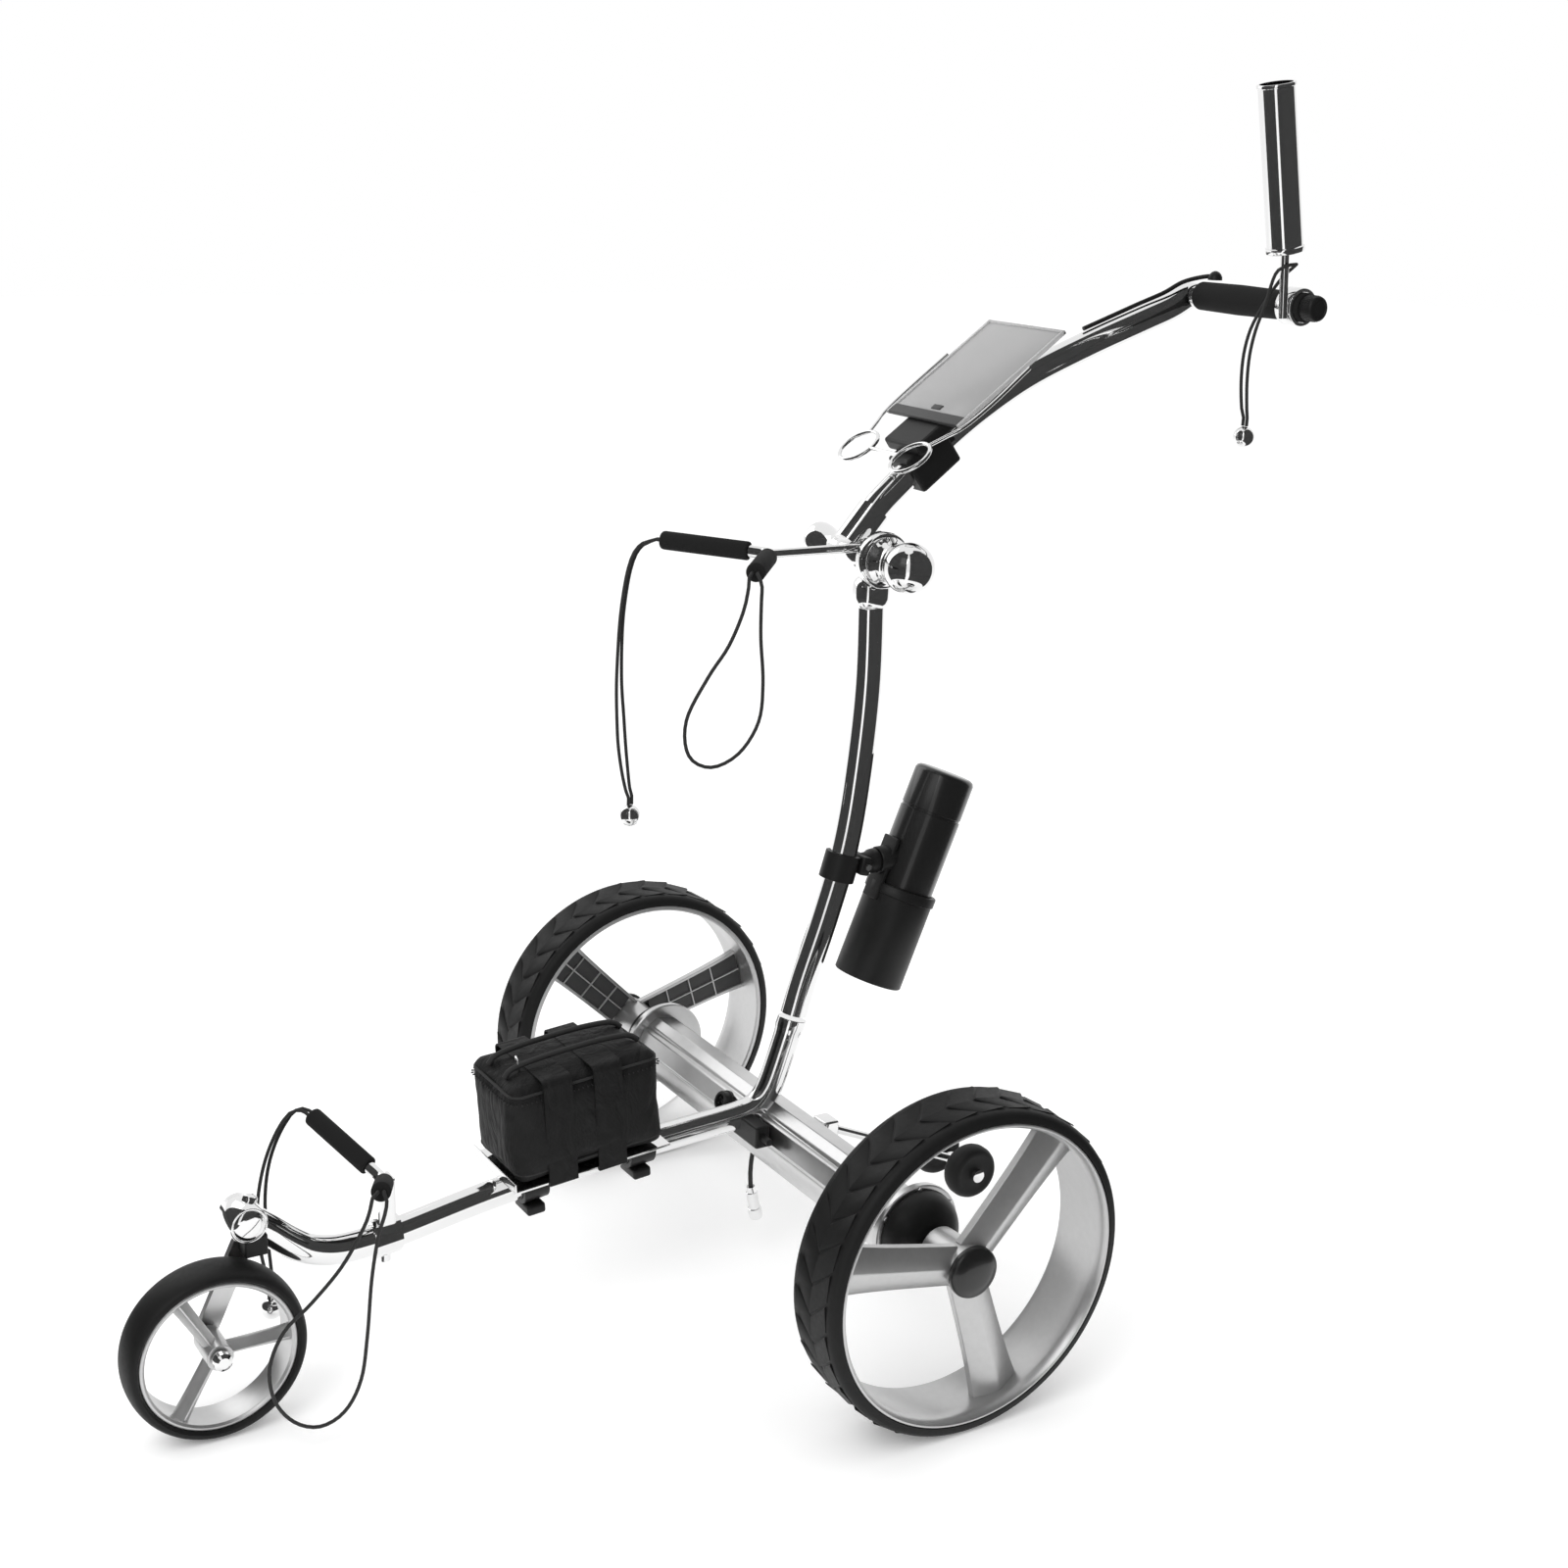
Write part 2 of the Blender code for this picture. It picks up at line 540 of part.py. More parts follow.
def make_frame_tubes():
    """Main bar with its swaged collar, and the upright that stands in it."""
    route = frame_route()
    split = next(i for i, p in enumerate(route) if p.z > COLLAR_HEIGHT and p.y > -0.1)
    lower = route[: split + 1]
    along = (route[split + 1] - route[split]).normalized()
    scales = [1.0] * len(lower)
    scales[-1] = 1.09
    lower.insert(-1, lower[-1] - along * 0.0085)
    scales.insert(-1, 1.09)
    lower.insert(-2, lower[-1] - along * 0.0090)
    scales.insert(-2, 1.0)
    body("main_bar", [swept(lower, TUBE_WIDE, TUBE_DEEP, scales=scales)], "chrome", cuts=[head_clearance()])
    upper = [route[split] + along * GAP, *route[split + 1:]]
    object_of("upright_tube", swept(upper, TUBE_WIDE, TUBE_DEEP), "chrome")


def bar_room():
    """The space that the frame tube takes, with clearance."""
    return swept(frame_route(), TUBE_WIDE + 2 * GAP, TUBE_DEEP + 2 * GAP)


def head_clearance():
    """The space that the head barrel takes, with clearance."""
    reach = Vector((0.05, 0, 0))
    return rod(HEAD - reach, HEAD + reach, HEAD_RADIUS + GAP, 32)


def make_head():
    """Cross barrel at the front end of the bar, with its mirror-like cap and a small boss on top."""
    half = HEAD_HALF_LENGTH
    profile = (
        (-half, 0), (-half, HEAD_RADIUS), (half - 0.001, HEAD_RADIUS), (half, HEAD_RADIUS - 0.001),
        (half, HEAD_RADIUS - 0.0022), (half + 0.0012, HEAD_RADIUS - 0.0035), (half + 0.0020, 0),
    )
    boss_profile = ((0, 0), (0, 0.0065), (0.0190, 0.0065), (0.0210, 0.0045), (0.0218, 0))
    boss = turned(boss_profile, HEAD, (0, 0.38, 1), 14)
    body("head_barrel", [turned(profile, HEAD, (1, 0, 0), 28), boss], "chrome")


def make_axle_housing():
    outline = [(AXLE.y + y, AXLE.z + z) for y, z in HOUSING_OUTLINE]
    shell = plate(outline, -HOUSING_HALF_LENGTH, HOUSING_HALF_LENGTH)
    body("axle_housing", [shell], "satin_silver", cuts=[bar_room()])
    (y0, z0), (y1, z1) = HOUSING_OUTLINE[3], HOUSING_OUTLINE[4]
    normal = Vector((0, -(z0 - z1), (y0 - y1))).normalized()
    foot = Vector((-0.046, AXLE.y + (y0 + y1) / 2, AXLE.z + (z0 + z1) / 2)) + normal * GAP
    socket = (
        (0, 0), (0, 0.0112), (0.003, 0.0112), (0.0035, 0.0098), (0.0090, 0.0094), (0.0100, 0.0080), (0.0100, 0),
    )
    object_of("charge_socket", turned(socket, foot, normal, 16), "black_plastic")


def make_saddle():
    """Black saddle between the bar and the housing's front, with its cross pin."""
    front = AXLE.y + min(y for y, _ in HOUSING_OUTLINE) - 2 * GAP
    deep = 0.015
    middle = front - deep / 2
    solid = block((0.044, deep, 0.022), (0.018, middle, 0.1650), edge=0.002)
    pin = rod((0.035, middle, 0.1650), (0.0520, middle, 0.1650), 0.0035, 14)
    body("saddle_block", [solid, pin], "black_plastic", cuts=[bar_room()])


def make_battery():
    """Tray with its two bar clamps, the bag on it and the two straps round both."""
    slope = Matrix.Rotation(BAG_SLOPE, 4, "X")

    def at(along, up, x=0.0):
        return BAG_FOOT + slope @ Vector((x, along, up))

    bag = block((BAG_WIDTH, BAG_LENGTH, BAG_HEIGHT), at(0, BAG_HEIGHT / 2), BAG_SLOPE, 0.009)
    object_of("battery_bag", bag, "nylon_black")
    top = -GAP
    tray = block(
        (BAG_WIDTH - 0.006, BAG_LENGTH + 0.004, TRAY_THICKNESS), at(0, top - TRAY_THICKNESS / 2), BAG_SLOPE
    )
    solids = [tray]
    for along in (-0.042, 0.066):
        solids.append(block((TUBE_WIDE + 0.010, 0.026, 0.036), at(along, top - 0.019), BAG_SLOPE, 0.002))
    body("battery_tray", solids, "satin_silver", cuts=[bar_room()])
    for name, along in (("strap_front", -0.031), ("strap_rear", 0.018)):
        inner = BAG_WIDTH / 2 + GAP
        low = top - TRAY_THICKNESS - GAP
        high = BAG_HEIGHT + GAP
        hem = 0.022
        outer = inner + STRAP_THICKNESS
        left = [
            (-hem, low - STRAP_THICKNESS), (-inner + 0.001, low - STRAP_THICKNESS), (-outer, low + 0.002),
            (-outer, high - 0.005), (-outer + 0.006, high + STRAP_THICKNESS),
            (outer - 0.006, high + STRAP_THICKNESS), (outer, high - 0.005), (outer, low + 0.002),
            (inner - 0.001, low - STRAP_THICKNESS), (hem, low - STRAP_THICKNESS),
        ]
        back = [
            (hem, low), (inner - 0.0025, low), (inner, low + 0.003), (inner, high - 0.0045),
            (inner - 0.0042, high), (-inner + 0.0042, high), (-inner, high - 0.0045), (-inner, low + 0.003),
            (-inner + 0.0025, low), (-hem, low),
        ]
        bm = bmesh.new()
        rows = [
            [bm.verts.new(at(along + offset, up, x)) for x, up in left + back]
            for offset in (-STRAP_WIDTH / 2, STRAP_WIDTH / 2)
        ]
        count = len(left)
        for i in range(count - 1):
            j = 2 * count - 1 - i
            bm.faces.new((rows[0][i], rows[0][i + 1], rows[1][i + 1], rows[1][i]))
            bm.faces.new((rows[0][j], rows[0][j - 1], rows[1][j - 1], rows[1][j]))
            for row in rows:
                bm.faces.new((row[i], row[i + 1], row[j - 1], row[j]))
        for i, j in ((0, 2 * count - 1), (count - 1, count)):
            bm.faces.new((rows[0][i], rows[0][j], rows[1][j], rows[1][i]))
        object_of(name, bm, "nylon_black")


def mirrored(point):
    return Vector((-point.x, point.y, point.z))


def arm_route(elbow, tip):
    """Centre line of a V-shaped support, from its right tip through the elbow to its left tip."""
    other = mirrored(tip)
    near = [elbow.lerp(end, 0.16) for end in (other, tip)]
    middle = elbow.lerp((near[0] + near[1]) / 2, 0.4)
    points = [other, other.lerp(near[0], 0.5), near[0], middle, near[1], tip.lerp(near[1], 0.5), tip]
    return smooth_route(points, 0.006)


def make_pad(name, elbow, tip, origin):
    """Foam sleeve with a closed end over one arm."""
    heading = (tip - elbow).normalized()
    start = elbow + heading * 0.021
    length = (tip - start).length
    bore = ARM_RADIUS + GAP
    outer = bore + PAD_WALL
    profile = (
        (0, bore), (0, outer - 0.0008), (0.001, outer), (length + 0.001, outer),
        (length + PAD_CAP - 0.0005, outer - 0.0012), (length + PAD_CAP, 0), (length + GAP, 0), (length + GAP, bore),
    )
    ring = turned_with_pole(profile, start, heading)
    object_of(name, ring, "foam_black", origin)


def turned_with_pole(profile, centre, direction, steps=20):
    """A turned cup, whose profile touches the axis along part of its length."""
    bm = bmesh.new()
    points = [bm.verts.new((radius, 0, along)) for along, radius in profile]
    pole = next(i for i, (_, radius) in enumerate(profile) if radius == 0)
    order = [*points[pole + 1:], *points[: pole + 1]]
    edges = [bm.edges.new(pair) for pair in zip(order, order[1:])]
    bmesh.ops.spin(
        bm, geom=points + edges, cent=(0, 0, 0), axis=(0, 0, 1), angle=2 * pi, steps=steps, use_merge=True
    )
    bmesh.ops.remove_doubles(bm, verts=bm.verts, dist=0.00001)
    turn = Vector((0, 0, 1)).rotation_difference(Vector(direction).normalized()).to_matrix().to_4x4()
    bmesh.ops.transform(bm, matrix=Matrix.Translation(Vector(centre)) @ turn, verts=bm.verts)
    return bm


def make_lower_support():
    arms = bent_rod(arm_route(LOWER_ELBOW, LOWER_TIP), ARM_RADIUS)
    object_of("lower_arms", arms, "chrome")
    y = LOWER_ELBOW.y - 0.001
    clamp = swept(
        plane_route([p for p in FRAME_LINE if -0.43 < p[0] < -0.37], 0, 0.006),
        TUBE_WIDE + 0.007, TUBE_DEEP + 0.007,
    )
    cap = block((0.06, 0.024, 0.06), (0, y, 0.134))
    band = object_of("lower_bracket", clamp, "chrome")
    keep = band.modifiers.new("length of the band", "BOOLEAN")
    keep.operation = "INTERSECT"
    helper = object_of("lower_bracket_length", cap)
    post = block((0.018, 0.016, 0.045), (0, y, 0.1695), edge=0.002)
    bolt = rod((0, y, 0.1190), (0, y, 0.1110), 0.0050, 12)
    arms_room = bent_rod(arm_route(LOWER_ELBOW, LOWER_TIP), ARM_RADIUS + GAP)
    shapes = (
        ("UNION", object_of("lower_bracket_post", post)),
        ("UNION", object_of("lower_bracket_bolt", bolt)),
        ("DIFFERENCE", object_of("lower_bracket_bar", bar_room())),
        ("DIFFERENCE", object_of("lower_bracket_arms", arms_room)),
    )
    keep.object = helper
    helpers = [helper]
    for operation, shape in shapes:
        modifier = band.modifiers.new(shape.name, "BOOLEAN")
        modifier.operation = operation
        modifier.object = shape
        helpers.append(shape)
    for shape in helpers:
        shape.hide_render = True
        shape.display_type = "WIRE"
    make_pad("lower_pad_left", LOWER_ELBOW, LOWER_TIP, (0, 0, 0))
    make_pad("lower_pad_right", LOWER_ELBOW, mirrored(LOWER_TIP), (0, 0, 0))


def make_upper_support():
    """V with its stalk and the eye that turns on the fold bolt."""
    eye_x = (-0.0015, 0.0095)
    eye_centre = Vector(((eye_x[0] + eye_x[1]) / 2, FOLD.y, FOLD.z))
    eye = rod((eye_x[0], FOLD.y, FOLD.z), (eye_x[1], FOLD.y, FOLD.z), FOLD_BARREL_RADIUS, 24)
    stalk_end = eye_centre + Vector((0, -0.004, 0.0105))
    stalk = rod(UPPER_ELBOW, stalk_end, 0.0042, 14)
    arms = bent_rod(arm_route(UPPER_ELBOW, UPPER_TIP), ARM_RADIUS)
    body("upper_arms", [arms, stalk, eye], "chrome", FOLD, [bolt_bore()])
    make_pad("upper_pad_left", UPPER_ELBOW, UPPER_TIP, FOLD)
    make_pad("upper_pad_right", UPPER_ELBOW, mirrored(UPPER_TIP), FOLD)


def make_fold_joint():
    """Socket on the upright, handle head, through bolt with its flared tail, and the ball knob."""
    top = FRAME_LINE[-1][1]
    flange_x = (0.0100, 0.0220)
    flange = rod((flange_x[0], FOLD.y, FOLD.z), (flange_x[1], FOLD.y, FOLD.z), FOLD_FLANGE_RADIUS, 24)
    cup = block((TUBE_WIDE + 0.0066, TUBE_DEEP + 0.007, 0.034), (0, FOLD.y, 0.670), edge=0.003)
    post_route = [p for p in frame_route() if 0.6 < p.z <= top]
    post_route.append(post_route[-1] + Vector((0, 0, GAP)))
    post_room = swept(post_route, TUBE_WIDE + 2 * GAP, TUBE_DEEP + 2 * GAP)
    body("fold_socket", [cup, flange], "chrome", cuts=[bolt_bore(), post_room])

    barrel_x = (-0.050, -0.0020)
    barrel = rod((barrel_x[0], FOLD.y, FOLD.z), (barrel_x[1], FOLD.y, FOLD.z), FOLD_BARREL_RADIUS, 24)
    handle = handle_route()
    sleeve = swept(plane_route(HANDLE_LINE[:2], HANDLE_X, 0.030), TUBE_WIDE + 0.005, TUBE_DEEP + 0.005)
    tube_room = swept(handle, TUBE_WIDE + 2 * GAP, TUBE_DEEP + 2 * GAP)
    clear_eye = block((0.03, 0.08, 0.08), (barrel_x[1] + 0.015, FOLD.y, FOLD.z + 0.02))
    body("fold_head", [barrel, sleeve], "chrome", FOLD, [tube_room, bolt_bore(), clear_eye])

    tail = barrel_x[0] - GAP
    profile = (
        (tail - 0.0440, 0), (tail - 0.0440, 0.0150), (tail - 0.0400, 0.0180), (tail - 0.0300, 0.0165),
        (tail - 0.0180, 0.0125), (tail - 0.0080, 0.0110), (tail - 0.0040, 0.0135), (tail, 0.0135),
        (tail, FOLD_BOLT_RADIUS), (0.0500, FOLD_BOLT_RADIUS), (0.0500, 0),
    )
    object_of("fold_bolt", turned(profile, (0, FOLD.y, FOLD.z), (1, 0, 0), 20), "chrome", FOLD)

    start = flange_x[1] + GAP
    centre = 0.0590
    bore = FOLD_BOLT_RADIUS + GAP
    profile = [
        (0.0505, 0), (0.0505, bore), (start, bore), (start, 0.0215), (start + 0.0040, 0.0225),
        (start + 0.0085, 0.0185), (start + 0.0130, 0.0165),
    ]
    for i in range(7):
        angle = radians(128 - 128 * i / 6)
        profile.append((centre + KNOB_RADIUS * cos(angle), KNOB_RADIUS * sin(angle)))
    profile[-1] = (centre + KNOB_RADIUS, 0)
    object_of("fold_knob", turned(profile, (0, FOLD.y, FOLD.z), (1, 0, 0), 24), "chrome", FOLD)


def handle_route():
    return plane_route(HANDLE_LINE, HANDLE_X, 0.030)


def make_handle():
    """Curved tube with the core of the grip, the grip, its strap and the speed dial."""
    room_start = (HANDLE_X - 0.05, FOLD.y, FOLD.z)
    room = rod(room_start, (HANDLE_X + 0.05, FOLD.y, FOLD.z), FOLD_BARREL_RADIUS + GAP, 24)
    core_end = GRIP_END_X - 0.004
    y = GRIP.y
    z = GRIP.z
    knuckle = turned(
        ((HANDLE_X - 0.0130, 0), (HANDLE_X - 0.0130, 0.0095), (HANDLE_X - 0.011, 0.0115), (-0.0070, 0.0115),
         (-0.0055, 0.0100), (-0.0055, GRIP_CORE_RADIUS), (core_end, GRIP_CORE_RADIUS), (core_end, 0)),
        (0, y, z), (1, 0, 0), 24,
    )
    body("handle_tube", [swept(handle_route(), TUBE_WIDE, TUBE_DEEP), knuckle], "chrome", FOLD, [room])
    start = -0.0055 + GAP
    bore = GRIP_CORE_RADIUS + GAP
    grip = (
        (start, bore), (start, GRIP_RADIUS - 0.001), (start + 0.001, GRIP_RADIUS), (0.05, GRIP_RADIUS + 0.0008),
        (GRIP_END_X - 0.035, GRIP_RADIUS), (GRIP_END_X, GRIP_RADIUS), (GRIP_END_X, 0), (core_end + GAP, 0),
        (core_end + GAP, bore),
    )
    object_of("grip", turned_with_pole(grip, (0, y, z), (1, 0, 0), 20), "foam_black", FOLD)
    dial_start = GRIP_END_X + GAP
    dial = (
        (dial_start, 0), (dial_start, DIAL_RADIUS - 0.0013), (dial_start + 0.0015, DIAL_RADIUS),
        (dial_start + DIAL_LENGTH - 0.002, DIAL_RADIUS), (dial_start + DIAL_LENGTH, DIAL_RADIUS - 0.0016),
        (dial_start + DIAL_LENGTH, 0),
    )
    object_of("speed_dial", turned(dial, (0, y, z), (1, 0, 0), 20), "black_plastic", GRIP)
    lift = Vector((-0.33, 0.944)) * (TUBE_DEEP / 2 + 0.0031)
    over_grip = z + GRIP_RADIUS + 0.0020
    strap = [
        (HANDLE_X, 0.331 + lift.x, 0.887 + lift.y), (HANDLE_X, 0.366 + lift.x, 0.899 + lift.y),
        (HANDLE_X, 0.395 + lift.x, 0.909 + lift.y), (HANDLE_X + 0.002, 0.420, over_grip - 0.0137),
        (HANDLE_X + 0.006, 0.440, over_grip - 0.0032), (HANDLE_X + 0.016, 0.456, over_grip + 0.0023),
        (HANDLE_X + 0.026, 0.463, over_grip + 0.0038),
    ]
    dome_profile = ((0, 0), (0, 0.0070), (0.004, 0.0065), (0.0075, 0.0040), (0.0085, 0))
    dome = turned(dome_profile, (0.004, 0.463, over_grip), (0, 0, 1), 12)
    body("handle_strap", [bent_rod(smooth_route(strap, 0.014), 0.0021, 8), dome], "cord_black", FOLD)


def make_umbrella_holder():
    y = GRIP.y
    z = GRIP.z
    ring = rod((UMBRELLA_X - 0.0140, y, z), (UMBRELLA_X + 0.0065, y, z), CLAMP_RADIUS, 24)
    room = rod((UMBRELLA_X - 0.05, y, z), (UMBRELLA_X + 0.05, y, z), GRIP_RADIUS + 2 * GAP, 28)
    foot = Vector((UMBRELLA_X, 0.4320, 0.9830))
    lean = Vector((0, -0.030, 0.146)).normalized()
    stem = rod((UMBRELLA_X, y - CLAMP_RADIUS - 0.001, z - 0.010), foot + lean * 0.001, 0.0040, 12)
    lip = UMBRELLA_RADIUS + 0.0012
    inner = UMBRELLA_RADIUS - UMBRELLA_WALL
    length = UMBRELLA_LENGTH
    profile = (
        (0.003, inner), (length, inner), (length, lip), (length - 0.003, lip), (length - 0.0035, UMBRELLA_RADIUS),
        (0.0055, UMBRELLA_RADIUS), (0.005, lip), (0, lip), (0, 0), (0.003, 0),
    )
    tube = turned_with_pole(profile, foot, lean, 20)
    body("umbrella_holder", [ring, stem, tube], "chrome", GRIP, [room])


def make_card_holder():
    """Clamp with its console, the hinged card plate and the two wire rings."""
    slope = Matrix.Rotation(CARD_TILT, 4, "X")

    def at(x, along, up):
        return CARD + slope @ Vector((x, along, up))

    tube_tilt = atan2(0.830 - 0.762, 0.207 - 0.116)
    clamp = block((TUBE_WIDE + 0.010, 0.050, TUBE_DEEP + 0.010), (HANDLE_X, 0.1480, 0.7870), tube_tilt, 0.003)
    console = block((0.056, 0.050, 0.013), at(0, -0.006, -0.0100), CARD_TILT, 0.003)
    neck = block((0.026, 0.040, 0.026), at(0, -0.006, -0.020), CARD_TILT)
    room = swept(handle_route(), TUBE_WIDE + 2 * GAP, TUBE_DEEP + 2 * GAP)
    body("card_clamp", [clamp, neck, console], "black_plastic", FOLD, [room])

    lift = -0.0035 + GAP
    middle = at(0, CARD_LENGTH / 2, lift + CARD_THICKNESS / 2)
    sheet = block((CARD_WIDTH, CARD_LENGTH, CARD_THICKNESS), middle, CARD_TILT, 0.0012)
    object_of("card_plate", sheet, "clear_grey", CARD)

    reach = -0.033 - RING_RADIUS
    normal = slope @ Vector((0, 0, 1))
    wire = []
    for x in (-0.042, 0.042):
        ring = [(WIRE_RADIUS * sin(pi * k / 3), RING_RADIUS + WIRE_RADIUS * cos(pi * k / 3)) for k in range(6)]
        wire.append(turned(ring, at(x, reach + 0.004, 0), normal, 16))
    bar_end = 0.042 - RING_RADIUS
    wire.append(rod(at(-bar_end - 0.0005, reach + 0.004, 0), at(bar_end + 0.0005, reach + 0.004, 0), WIRE_RADIUS, 6))
    for sign in (-1, 1):
        path = [
            at(sign * 0.048, reach + RING_RADIUS + 0.0025, 0), at(sign * 0.0545, -0.016, -0.001),
            at(sign * 0.0630, 0.004, -0.002), at(sign * 0.0655, 0.040, -0.002), at(sign * 0.0640, 0.088, -0.001),
        ]
        wire.append(bent_rod(smooth_route(path, 0.014), WIRE_RADIUS * 0.9, 6))
    body("card_rings", wire, "chrome", FOLD)


def make_bottle():
    """Clamp on the upright, swivelling cup and the flask in it."""
    tangent = Vector((0, 0.018, 0.061)).normalized()
    centre = Vector((0, 0.0583, SWIVEL_HEIGHT))
    half_height = 0.013
    band = [centre - tangent * half_height, centre, centre + tangent * half_height]
    sleeve = swept(band, TUBE_WIDE + 0.008, TUBE_DEEP + 0.008, 20)
    lug_face = 0.1000
    lug = rod((0, centre.y + 0.010, SWIVEL_HEIGHT), (0, lug_face, SWIVEL_HEIGHT), 0.0095, 16)
    body("bottle_clamp", [sleeve, lug], "black_plastic", cuts=[bar_room()])

    inner = BOTTLE_RADIUS + 2 * GAP
    outer = inner + CUP_WALL
    cup = rod(BOTTLE_FOOT, BOTTLE_FOOT + BOTTLE_AXIS * CUP_HEIGHT, outer, 24)
    rim_foot = BOTTLE_FOOT + BOTTLE_AXIS * (CUP_HEIGHT - 0.010)
    rim = rod(rim_foot, BOTTLE_FOOT + BOTTLE_AXIS * CUP_HEIGHT, outer + 0.0015, 24)
    lean = atan2(BOTTLE_AXIS.y, BOTTLE_AXIS.z)
    side = Vector((0, -BOTTLE_AXIS.z, BOTTLE_AXIS.y))
    tongue_at = BOTTLE_FOOT + BOTTLE_AXIS * 0.108 + side * (inner + 0.0022)
    tongue = block((0.022, 0.0044, 0.062), tongue_at, -lean)
    disc = rod((0, lug_face + GAP, SWIVEL_HEIGHT), (0, 0.1215, SWIVEL_HEIGHT), 0.0130, 20)
    floor = 0.003
    room = rod(BOTTLE_FOOT + BOTTLE_AXIS * floor, BOTTLE_FOOT + BOTTLE_AXIS * 0.25, inner, 24)
    pivot = Vector((0, lug_face, SWIVEL_HEIGHT))
    body("bottle_cup", [cup, rim, tongue, disc], "black_plastic", pivot, [room])

    base = floor + GAP
    top = base + BOTTLE_LENGTH
    r = BOTTLE_RADIUS
    profile = (
        (base, 0), (base, r - 0.003), (base + 0.003, r), (top - 0.043, r), (top - 0.042, r - 0.0012),
        (top - 0.040, r - 0.0012), (top - 0.039, r - 0.0002), (top - 0.004, r - 0.0004), (top - 0.001, r - 0.003),
        (top, r - 0.006), (top, 0),
    )
    object_of("bottle", turned(profile, BOTTLE_FOOT, BOTTLE_AXIS, 24), "gloss_black", pivot)


def make_anti_tip():
    """Bracket on the housing's back, the rod and the axle of the two small wheels."""
    back = AXLE.y + max(y for y, _ in HOUSING_OUTLINE) + GAP
    start = Vector((ANTI_TIP_X, back + 0.008, 0.156))
    bracket = block((0.022, 0.016, 0.026), (ANTI_TIP_X, back + 0.008, 0.152), edge=0.002)
    stay = rod(start, CASTER_AXLE, 0.0042, 14)
    half = CASTER_SPREAD + CASTER_WIDTH / 2
    nut = half + 0.0015
    axle = turned(
        ((-nut - 0.004, 0), (-nut - 0.004, 0.0065), (-nut, 0.0065), (-nut, 0.004), (nut, 0.004), (nut, 0.0065),
         (nut + 0.004, 0.0065), (nut + 0.004, 0)),
        CASTER_AXLE, (1, 0, 0), 16,
    )
    sleeve = rod(CASTER_AXLE - Vector((0.012, 0, 0)), CASTER_AXLE + Vector((0.012, 0, 0)), 0.0070, 20)
    body("anti_tip_rod", [stay, bracket, axle, sleeve], "chrome")
    w = CASTER_WIDTH / 2
    r = CASTER_RADIUS
    profile = (
        (-w, 0.0043), (-w, r - 0.006), (-w + 0.004, r - 0.0012), (-w * 0.3, r), (w * 0.3, r),
        (w - 0.004, r - 0.0012), (w, r - 0.006), (w, 0.0043),
    )
    for side, sign in (("left", 1), ("right", -1)):
        centre = CASTER_AXLE + Vector((sign * CASTER_SPREAD, 0, 0))
        object_of(f"anti_tip_wheel_{side}", turned(profile, centre, (1, 0, 0), 16), "tyre_rubber", centre)


def out_of_pad(elbow, tip, aside=0.0):
    """Where a cord leaves the closed end of a pad, and a point straight out from there."""
    heading = (tip - elbow).normalized()
    start = tip + heading * (PAD_CAP + GAP) + heading.cross(Vector((0, 0, 1))).normalized() * aside
    return [start, start + heading * 0.005]


def into_ball(centre, aside=0.0):
    """A point straight above a ball and the place where a cord meets the ball's top."""
    end = centre + Vector((aside, 0, BALL_RADIUS + GAP))
    return [end + Vector((0, 0, 0.0075)), end]


def make_loop(name, elbow, tip, free, origin):
    first = out_of_pad(elbow, tip, STRAND_SPLIT)
    last = out_of_pad(elbow, tip, -STRAND_SPLIT)[::-1]
    cord(name, [*first, *free, *last], CORD_DIAMETER, origin)


def make_pair(name, elbow, tip, free, centre, origin):
    split = STRAND_SPLIT
    first = [(*p, split) for p in out_of_pad(elbow, mirrored(tip))]
    last = [(*p, split) for p in into_ball(centre)]
    cord_pair(name, [*first, *free, *last], origin)


def make_cords():
    make_loop("lower_loop", LOWER_ELBOW, LOWER_TIP, LOWER_LOOP, (0, 0, 0))
    make_pair("lower_strand", LOWER_ELBOW, LOWER_TIP, LOWER_PAIR, LOWER_BALL, (0, 0, 0))
    make_loop("upper_loop", UPPER_ELBOW, UPPER_TIP, UPPER_LOOP, FOLD)
    make_pair("upper_strand", UPPER_ELBOW, UPPER_TIP, UPPER_PAIR, UPPER_BALL, FOLD)
    right = into_ball(UMBRELLA_BALL, STRAND_SPLIT)[::-1]
    left = into_ball(UMBRELLA_BALL, -STRAND_SPLIT)
    cord("umbrella_cord", [*right, *UMBRELLA_CORD, *left], CORD_DIAMETER, GRIP, 2.0)
    for name, centre, origin in (
        ("lower_cord_ball", LOWER_BALL, (0, 0, 0)),
        ("upper_cord_ball", UPPER_BALL, FOLD),
        ("umbrella_cord_ball", UMBRELLA_BALL, GRIP),
    ):
        object_of(name, ball(centre, BALL_RADIUS), "chrome", origin)
    cord("cable", CABLE_ROUTE, CABLE_DIAMETER, (0, 0, 0), 1.4)
    end = Vector(CABLE_ROUTE[-1])
    plug = (
        (GAP, 0), (GAP, 0.0042), (0.006, 0.0050), (0.0065, 0.0058), (0.024, 0.0058), (0.0245, 0.0068),
        (0.034, 0.0068), (0.036, 0.0060), (0.036, 0),
    )
    object_of("cable_plug", turned(plug, end, (0.02, 0.20, -1), 14), "chrome")


